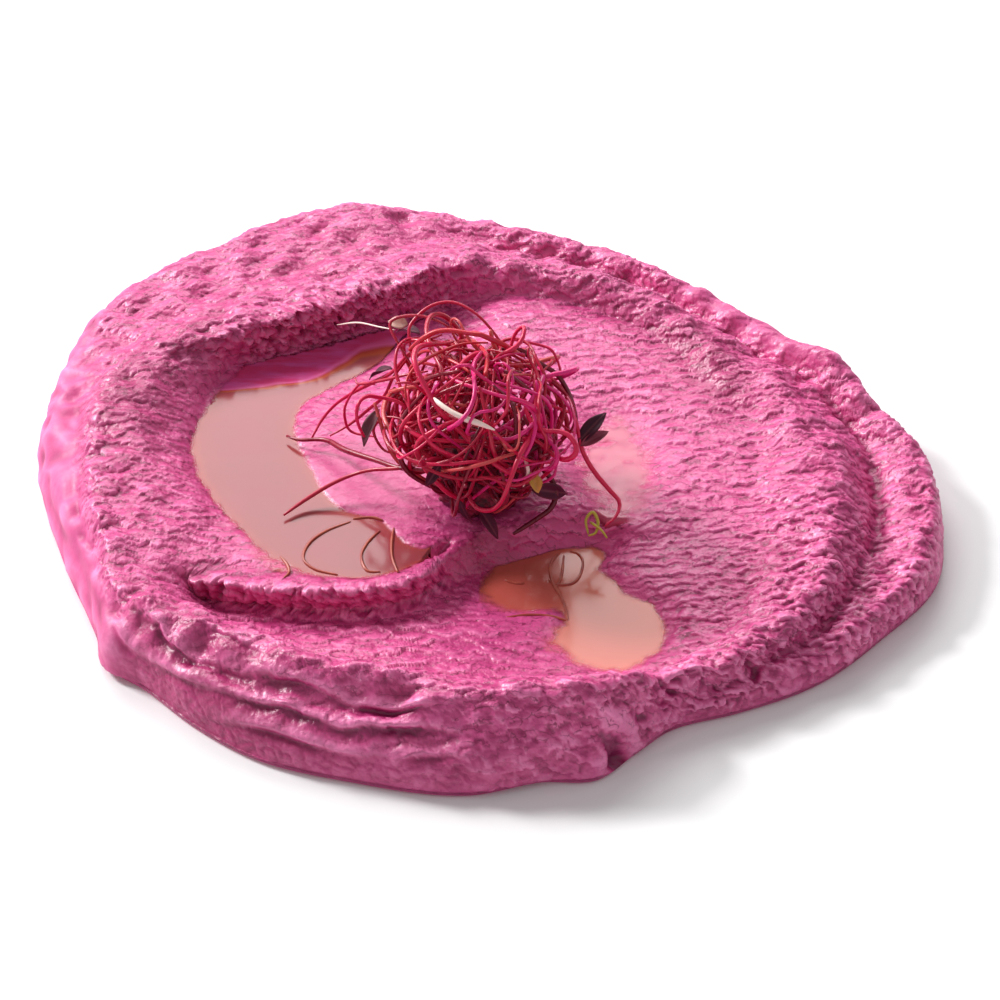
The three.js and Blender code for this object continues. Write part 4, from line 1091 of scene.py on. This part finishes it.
def colour(red, green, blue):
    """A colour given as on a screen, from 0 to 255, for a node's socket."""
    shares = (red / 255, green / 255, blue / 255)
    return tuple(c / 12.92 if c <= 0.04045 else ((c + 0.055) / 1.055) ** 2.4 for c in shares) + (1.0,)


def feed(tree, socket, value):
    """Gives a socket a fixed value, or what comes out of another node."""
    if isinstance(value, (int, float, tuple)):
        socket.default_value = value
    else:
        tree.links.new(value, socket)


def feed_all(tree, node, **values):
    """Feeds sockets by their names, with an underscore for a space."""
    for name, value in values.items():
        feed(tree, node.inputs[name.replace("_", " ")], value)


def math_node(tree, operation, *values, clamp=False):
    node = tree.nodes.new("ShaderNodeMath")
    node.operation = operation
    node.use_clamp = clamp
    for socket, value in zip(node.inputs, values):
        feed(tree, socket, value)
    return node.outputs[0]


def vector_node(tree, operation, *values, output="Vector"):
    node = tree.nodes.new("ShaderNodeVectorMath")
    node.operation = operation
    for socket, value in zip(node.inputs, values):
        feed(tree, socket, value)
    return node.outputs[output]


def noise_at(tree, place, scale, detail, roughness=0.55, output="Fac"):
    node = tree.nodes.new("ShaderNodeTexNoise")
    feed_all(tree, node, Vector=place, Scale=scale, Detail=detail, Roughness=roughness)
    return node.outputs[output]


def split_up(tree, kind, value):
    node = tree.nodes.new(kind)
    tree.links.new(value, node.inputs[0])
    return node.outputs


def object_place(tree):
    return tree.nodes.new("ShaderNodeTexCoord").outputs["Object"]


def attribute(tree, name, output="Fac"):
    node = tree.nodes.new("ShaderNodeAttribute")
    node.attribute_name = name
    return node.outputs[output]


def mapped(tree, source, low, high, to_low, to_high):
    node = tree.nodes.new("ShaderNodeMapRange")
    for socket, value in zip(node.inputs, (source, low, high, to_low, to_high)):
        feed(tree, socket, value)
    return node.outputs["Result"]


def mixed(tree, factor, a, b):
    node = tree.nodes.new("ShaderNodeMix")
    node.data_type = "RGBA"
    for socket, value in ((node.inputs[0], factor), (node.inputs[6], a), (node.inputs[7], b)):
        feed(tree, socket, value)
    return node.outputs[2]


def tinted(tree, base, mask, low, high, most, *tint):
    """Mixes a screen colour in: none of it at the mask's low value, and the most at its high value."""
    return mixed(tree, mapped(tree, mask, low, high, 0.0, most), base, colour(*tint))


def ramp(tree, source, *stops):
    """A colour for each value: stops of place, red, green and blue."""
    node = tree.nodes.new("ShaderNodeValToRGB")
    elements = node.color_ramp.elements
    while len(elements) < len(stops):
        elements.new(0.5)
    for element, (place, *shade) in zip(elements, stops):
        element.position = place
        element.color = colour(*shade)
    tree.links.new(source, node.inputs["Fac"])
    return node.outputs["Color"]


def node_group(name, inputs, outputs):
    """A shader node group with named sockets: an input's default is a number, or None for a place."""
    tree = bpy.data.node_groups.new(name, "ShaderNodeTree")
    for socket, default in inputs.items():
        kind = "NodeSocketVector" if default is None else "NodeSocketFloat"
        made = tree.interface.new_socket(name=socket, in_out="INPUT", socket_type=kind)
        if default is not None:
            made.default_value = default
    for socket in outputs:
        tree.interface.new_socket(name=socket, in_out="OUTPUT", socket_type="NodeSocketFloat")
    return tree, tree.nodes.new("NodeGroupInput").outputs, tree.nodes.new("NodeGroupOutput").inputs


def placed(tree, group, **values):
    node = tree.nodes.new("ShaderNodeGroup")
    node.node_tree = group
    feed_all(tree, node, **values)
    return node.outputs


def make_blotches():
    """Soft uneven patches of a given size in millimetres, from 0 to 1."""
    tree, given, result = node_group("soft_blotches", {"Size": 8.0, "Contrast": 1.6}, ["Shade"])
    scale = math_node(tree, "DIVIDE", 1000.0, given["Size"])
    centred = math_node(tree, "SUBTRACT", noise_at(tree, object_place(tree), scale, 3.0), 0.5)
    stretched = math_node(tree, "MULTIPLY", centred, given["Contrast"])
    feed(tree, result["Shade"], math_node(tree, "ADD", stretched, 0.5, clamp=True))
    return tree


def make_crumb():
    """Grain finer than the mesh, of a given size in millimetres: rounded grains with creases between them."""
    tree, given, result = node_group("fine_crumb", {"Size": 0.9}, ["Height"])
    place = object_place(tree)
    scale = math_node(tree, "DIVIDE", 1000.0, given["Size"])
    grain = tree.nodes.new("ShaderNodeTexVoronoi")
    feed_all(tree, grain, Vector=place, Scale=scale)
    lowered = math_node(tree, "MULTIPLY", grain.outputs["Distance"], -0.8)
    feed(tree, result["Height"], math_node(tree, "ADD", lowered, noise_at(tree, place, scale, 3.0, 0.6)))
    return tree


def make_layers():
    """Thin torn layers finer than the mesh: their height, and a painted shadow as a dark line under each front
    edge.
    """
    tree, given, result = node_group(
        "torn_layers", {"Place": None, "Length": 4.0, "Width": 1.8}, ["Height", "Line"])
    bend = noise_at(tree, given["Place"], 480.0, 2.0, output="Color")
    wavy = vector_node(tree, "MULTIPLY_ADD", bend, (0.0042, 0.0036, 0.0024), given["Place"])
    along = split_up(tree, "ShaderNodeSeparateXYZ", wavy)
    join = tree.nodes.new("ShaderNodeCombineXYZ")
    for axis, size in (("X", "Length"), ("Y", "Width"), ("Z", "Width")):
        scale = math_node(tree, "DIVIDE", 1000.0, given[size])
        feed(tree, join.inputs[axis], math_node(tree, "MULTIPLY", along[axis], scale))
    pieces = tree.nodes.new("ShaderNodeTexVoronoi")
    borders = tree.nodes.new("ShaderNodeTexVoronoi")
    borders.feature = "DISTANCE_TO_EDGE"
    for node in (pieces, borders):
        feed_all(tree, node, Vector=join.outputs[0], Scale=1.0)
    gap = vector_node(tree, "SUBTRACT", join.outputs[0], pieces.outputs["Position"])
    forward = vector_node(tree, "DOT_PRODUCT", gap, (0.0, -1.0, -0.3), output="Value")
    pick = split_up(tree, "ShaderNodeSeparateColor", pieces.outputs["Color"])
    uneven = math_node(tree, "MULTIPLY", pick[0], 0.5)
    feed(tree, result["Height"], math_node(tree, "ADD", forward, uneven))
    # Painted shadow: dark along each layer's crease, on the side behind its front edge
    crease = mapped(tree, borders.outputs["Distance"], 0.03, 0.2, 1.0, 0.0)
    behind = mapped(tree, forward, -0.2, -0.42, 0.0, 1.0)
    feed(tree, result["Line"], math_node(tree, "MULTIPLY", crease, behind))
    return tree


BLOTCHES = make_blotches()
CRUMB = make_crumb()
LAYERS = make_layers()


def new_material(name):
    material = bpy.data.materials.new(name)
    material.use_nodes = True
    return material, material.node_tree, material.node_tree.nodes["Principled BSDF"]


def patches(tree, size, contrast):
    return placed(tree, BLOTCHES, Size=size, Contrast=contrast)["Shade"]


def bump(tree, shader, height, strength, distance):
    node = tree.nodes.new("ShaderNodeBump")
    feed_all(tree, node, Strength=strength, Distance=distance * MM, Height=height)
    tree.links.new(node.outputs["Normal"], shader.inputs["Normal"])


def crumb_bump(tree, shader, size, strength, distance):
    bump(tree, shader, placed(tree, CRUMB, Size=size)["Height"], strength, distance)


def hummus_finish():
    """Moist pink paste with thin torn layers or lumps. Its pale ridges are a painted highlight, and the wine
    red in its creases and under the layers' front edges is painted shade.
    """
    material, tree, shader = new_material("moist_pink_hummus")
    wide, small = patches(tree, 17.0, 1.8), patches(tree, 3.2, 2.2)
    layered, lumpy, wet = attribute(tree, "layered"), attribute(tree, "lumpy"), attribute(tree, "wet")
    fading = math_node(tree, "MULTIPLY", layered, mapped(tree, small, 0.2, 0.6, 0.4, 1.0))
    layers = placed(tree, LAYERS, Place=object_place(tree), Length=4.1, Width=2.0)
    lumps = placed(tree, LAYERS, Place=attribute(tree, "swept", "Vector"), Length=6.5, Width=2.1)

    # Painted light: wine red in the creases is painted shade, and pale pink on the ridges is a painted
    # highlight
    hollow = mapped(tree, attribute(tree, "hollow"), -0.6, 0.6, 0.0, 1.0)
    paste = ramp(
        tree, hollow, (0.0, 118, 16, 66), (0.26, 174, 42, 106), (0.5, 220, 84, 146), (0.8, 252, 136, 190))
    paste = tinted(tree, paste, wide, 0.2, 0.9, 0.3, 200, 56, 134)
    paste = tinted(tree, paste, small, 0.45, 1.0, 0.25, 190, 44, 110)
    # Painted shade: a darker pink where the paste turns from the light, broken up by blotches
    broken = math_node(tree, "MULTIPLY", attribute(tree, "painted_shade"), mapped(tree, small, 0.1, 0.8, 0.55, 1.0))
    paste = tinted(tree, paste, broken, 0.0, 1.0, 0.78, 150, 26, 84)
    # Painted shadow under the front edges of the layers and lumps
    torn_shadow = math_node(tree, "MULTIPLY", layers["Line"], fading)
    lump_shadow = math_node(tree, "MULTIPLY", lumps["Line"], math_node(tree, "MULTIPLY", lumpy, 0.28))
    line = math_node(tree, "MAXIMUM", torn_shadow, lump_shadow)
    # The painted shadow darkens the paste to wine red
    paste = tinted(tree, paste, line, 0.0, 1.0, 0.85, 128, 14, 70)
    # Darker where oil has soaked in, and as painted shade under the nest and on the ledge's face
    paste = tinted(tree, paste, wet, 0.0, 1.0, 0.7, 160, 30, 82)

    dull = mapped(tree, small, 0.0, 1.0, 0.34, 0.5)
    dull = math_node(tree, "ADD", dull, mapped(tree, attribute(tree, "calm"), 0.0, 1.0, 0.0, 0.16))
    gloss = math_node(tree, "MULTIPLY", dull, mapped(tree, wet, 0.0, 1.0, 1.0, 0.5))
    feed_all(tree, shader, Base_Color=paste, Roughness=gloss, Specular_IOR_Level=0.6)
    height = math_node(tree, "MULTIPLY", layers["Height"], fading)
    height = math_node(tree, "ADD", height, math_node(tree, "MULTIPLY", lumps["Height"], lumpy))
    grain = placed(tree, CRUMB, Size=0.8)["Height"]
    height = math_node(tree, "ADD", height, math_node(tree, "MULTIPLY", grain, 0.12))
    bump(tree, shader, height, 0.7, 0.45)
    return material


def oil_finish():
    """Oil that takes up the hummus's pink: beige to peach in the open; in the wall's shade, painted shade and
    a painted reflection of the pink wall, amber at the line and magenta behind it.
    """
    material, tree, shader = new_material("amber_oil")
    depth = mapped(tree, attribute(tree, "depth"), 0.0, 3.2, 0.0, 1.0)
    tint, shade = attribute(tree, "tint"), attribute(tree, "shaded")
    body = ramp(tree, depth, (0.0, 176, 72, 62), (0.15, 166, 72, 64), (0.5, 156, 66, 68), (1.0, 150, 66, 72))
    body = tinted(tree, body, patches(tree, 14.0, 1.5), 0.3, 0.9, 0.4, 164, 58, 76)
    own_tint = ramp(tree, tint, (0.0, 212, 104, 82), (0.5, 156, 66, 68), (1.0, 206, 92, 124))
    from_middle = math_node(tree, "ABSOLUTE", math_node(tree, "SUBTRACT", tint, 0.5))
    pooled = mixed(tree, mapped(tree, from_middle, 0.0, 0.5, 0.0, 0.85), body, own_tint)
    stretched = vector_node(tree, "MULTIPLY", object_place(tree), (0.22, 1.0, 1.0))
    drawn = noise_at(tree, stretched, 420.0, 3.0)
    # Painted shade and a painted reflection of the wall: amber at the line, magenta further behind
    wall_shade_and_reflection = ramp(tree, shade, (0.0, 156, 72, 62), (0.22, 186, 88, 54), (0.45, 182, 66, 58),
                    (0.68, 222, 98, 154), (1.0, 200, 58, 112))
    # Painted reflection: lighter streaks of the wall's reflection, drawn out along x
    reflection_streaks = tinted(tree, wall_shade_and_reflection, drawn, 0.45, 0.7, 0.6, 206, 96, 170)
    shored = mixed(tree, mapped(tree, shade, 0.0, 0.3, 0.0, 1.0), pooled, wall_shade_and_reflection)
    streaked = mixed(tree, mapped(tree, shade, 0.45, 0.8, 0.0, 1.0), shored, reflection_streaks)
    shine = mapped(tree, patches(tree, 5.0, 1.5), 0.0, 1.0, 0.1, 0.17)
    feed_all(tree, shader, Base_Color=streaked, Roughness=shine, Alpha=attribute(tree, "film"), IOR=1.4)
    bump(tree, shader, drawn, 0.14, 0.12)
    return material


def stem_finish():
    """Red stems, each of its own tone."""
    material, tree, shader = new_material("red_stems")
    streaks = patches(tree, 2.4, 2.0)
    shade = math_node(tree, "ADD", attribute(tree, "tone"), mapped(tree, streaks, 0.0, 1.0, -0.035, 0.035))
    body = ramp(
        tree, shade, (0.0, 66, 8, 30), (0.16, 122, 6, 40), (0.34, 184, 8, 56), (0.52, 220, 18, 80),
        (0.63, 224, 36, 128), (0.73, 196, 24, 46), (0.85, 212, 92, 92), (0.9, 250, 226, 216),
        (0.96, 250, 226, 216), (1.0, 190, 176, 60))
    feed_all(tree, shader, Base_Color=body, Roughness=mapped(tree, streaks, 0.0, 1.0, 0.22, 0.42))
    crumb_bump(tree, shader, 0.7, 0.15, 0.1)
    return material


def sunken_finish():
    """Brown stems seen through the oil."""
    material, tree, shader = new_material("stems_under_oil")
    body = ramp(tree, patches(tree, 2.4, 2.0), (0.0, 150, 50, 44), (1.0, 190, 92, 70))
    feed_all(tree, shader, Base_Color=body, Roughness=0.35)
    crumb_bump(tree, shader, 0.7, 0.15, 0.1)
    return material


def core_finish():
    """The dark middle of the nest, where stems lie packed: its maroon is partly the stems' own red, partly
    painted shade.
    """
    material, tree, shader = new_material("packed_stems")
    body = ramp(tree, patches(tree, 2.0, 2.6), (0.2, 66, 10, 30), (0.6, 132, 16, 52), (0.9, 160, 26, 68))
    feed_all(tree, shader, Base_Color=body, Roughness=0.5)
    crumb_bump(tree, shader, 1.5, 0.9, 0.7)
    return material


def leaf_finish():
    """Seed leaves: dark purple, grey green, magenta, pale pink or straw, with a lighter rib and rim."""
    material, tree, shader = new_material("seed_leaves")
    rib, uneven = attribute(tree, "rib"), patches(tree, 2.2, 2.0)
    body = ramp(
        tree, attribute(tree, "tone"), (0.0, 52, 10, 34), (0.15, 84, 18, 50), (0.3, 112, 84, 84),
        (0.5, 168, 20, 88), (0.62, 140, 60, 80), (0.78, 226, 184, 170), (0.95, 206, 160, 74))
    body = tinted(tree, body, uneven, 0.3, 1.0, 0.4, 104, 18, 50)
    body = tinted(tree, body, rib, 0.75, 1.0, 0.2, 190, 110, 120)
    body = mixed(tree, mapped(tree, rib, 0.0, 0.2, 0.2, 0.0), body, colour(196, 100, 110))
    roughness = mapped(tree, uneven, 0.0, 1.0, 0.45, 0.65)
    feed_all(tree, shader, Base_Color=body, Roughness=roughness, Specular_IOR_Level=0.25)
    crumb_bump(tree, shader, 0.8, 0.3, 0.15)
    return material


def finish(piece, material, slot, *nodes):
    """The piece's material and body, and the solids that it stands for. Its slot is not used."""
    piece.data.materials.clear()
    piece.data.materials.append(material)
    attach(piece, "root")
    if nodes:
        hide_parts(*nodes)


def set_out():
    """Makes every piece, from the spread up."""
    spread = joined_mesh("hummus_spread", *spread_mesh())
    thin_out(spread, SPREAD_TRIANGLES)
    finish(spread, hummus_finish(), "hummus", "hummus")
    ground_height = ground_under(spread)

    oil = oil_finish()
    for name, level, corners, fades_over, tint in POOLS:
        pool = oil_pool(name + "_pool", level, corners, fades_over, tint, ground_height)
        finish(pool, oil, "oil", name)
        pool.visible_shadow = False  # thin oil lets the light through to its bed

    finish(stems_piece("sprout_stems", nest_stems()), stem_finish(), "sprouts", "sprouts")
    finish(nest_core(), core_finish(), "sprouts", "sprouts")
    finish(stems_piece("stems_in_the_oil", sunken_stems()), sunken_finish(), "sprouts")
    finish(leaves_piece(), leaf_finish(), "sprouts", "sprouts")


# Floor, light and camera

def pale_floor():
    mesh = bpy.data.meshes.new("floor")
    corners = [(x, y, -0.0003) for x, y in ((-4, -4), (4, -4), (4, 4), (-4, 4))]
    mesh.from_pydata(corners, [], [(0, 1, 2, 3)])
    floor = placed_object("floor", mesh)
    material, tree, shader = new_material("pale_floor")
    grey = mapped(tree, patches(tree, 400.0, 0.5), 0.0, 1.0, 0.92, 0.95)
    feed_all(tree, shader, Base_Color=grey, Roughness=0.7)
    floor.data.materials.append(material)


def area_light(name, place, width, height, power):
    """A light that faces the spread's middle."""
    data = bpy.data.lights.new(name, "AREA")
    data.shape = "RECTANGLE"
    data.size, data.size_y = width, height
    data.energy = power
    light = placed_object(name, data)
    light.location = place
    light.rotation_euler = (Vector((0, 0, 0.01)) - Vector(place)).to_track_quat("-Z", "Y").to_euler()


def photo_camera():
    """The camera where the photo's stood, 40 degrees above the horizon."""
    data = bpy.data.cameras.new("camera")
    data.sensor_width = 36.0
    data.lens = 100.44
    data.clip_start = 0.02
    camera = placed_object("camera", data)
    elevation = math.radians(40)
    back = Vector((0, -math.cos(elevation), math.sin(elevation)))
    camera.location = Vector((3.56, -9.22, 8.0)) * MM + back * 0.62
    camera.rotation_euler = (-back).to_track_quat("-Z", "Y").to_euler()
    bpy.context.scene.camera = camera


def studio():
    pale_floor()
    area_light("softbox_behind", (-0.5, 2.3, 2.05), 2.6, 1.4, 65.0)
    area_light("window_left", (-2.1, 1.25, 1.6), 0.6, 0.6, 88.0)
    world = bpy.data.worlds.new("pale_studio")
    world.use_nodes = True
    feed_all(world.node_tree, world.node_tree.nodes["Background"], Color=(1.0, 1.0, 1.0, 1.0), Strength=0.42)
    bpy.context.scene.world = world
    bpy.context.scene.view_settings.view_transform = "Standard"
    photo_camera()


set_out()
studio()
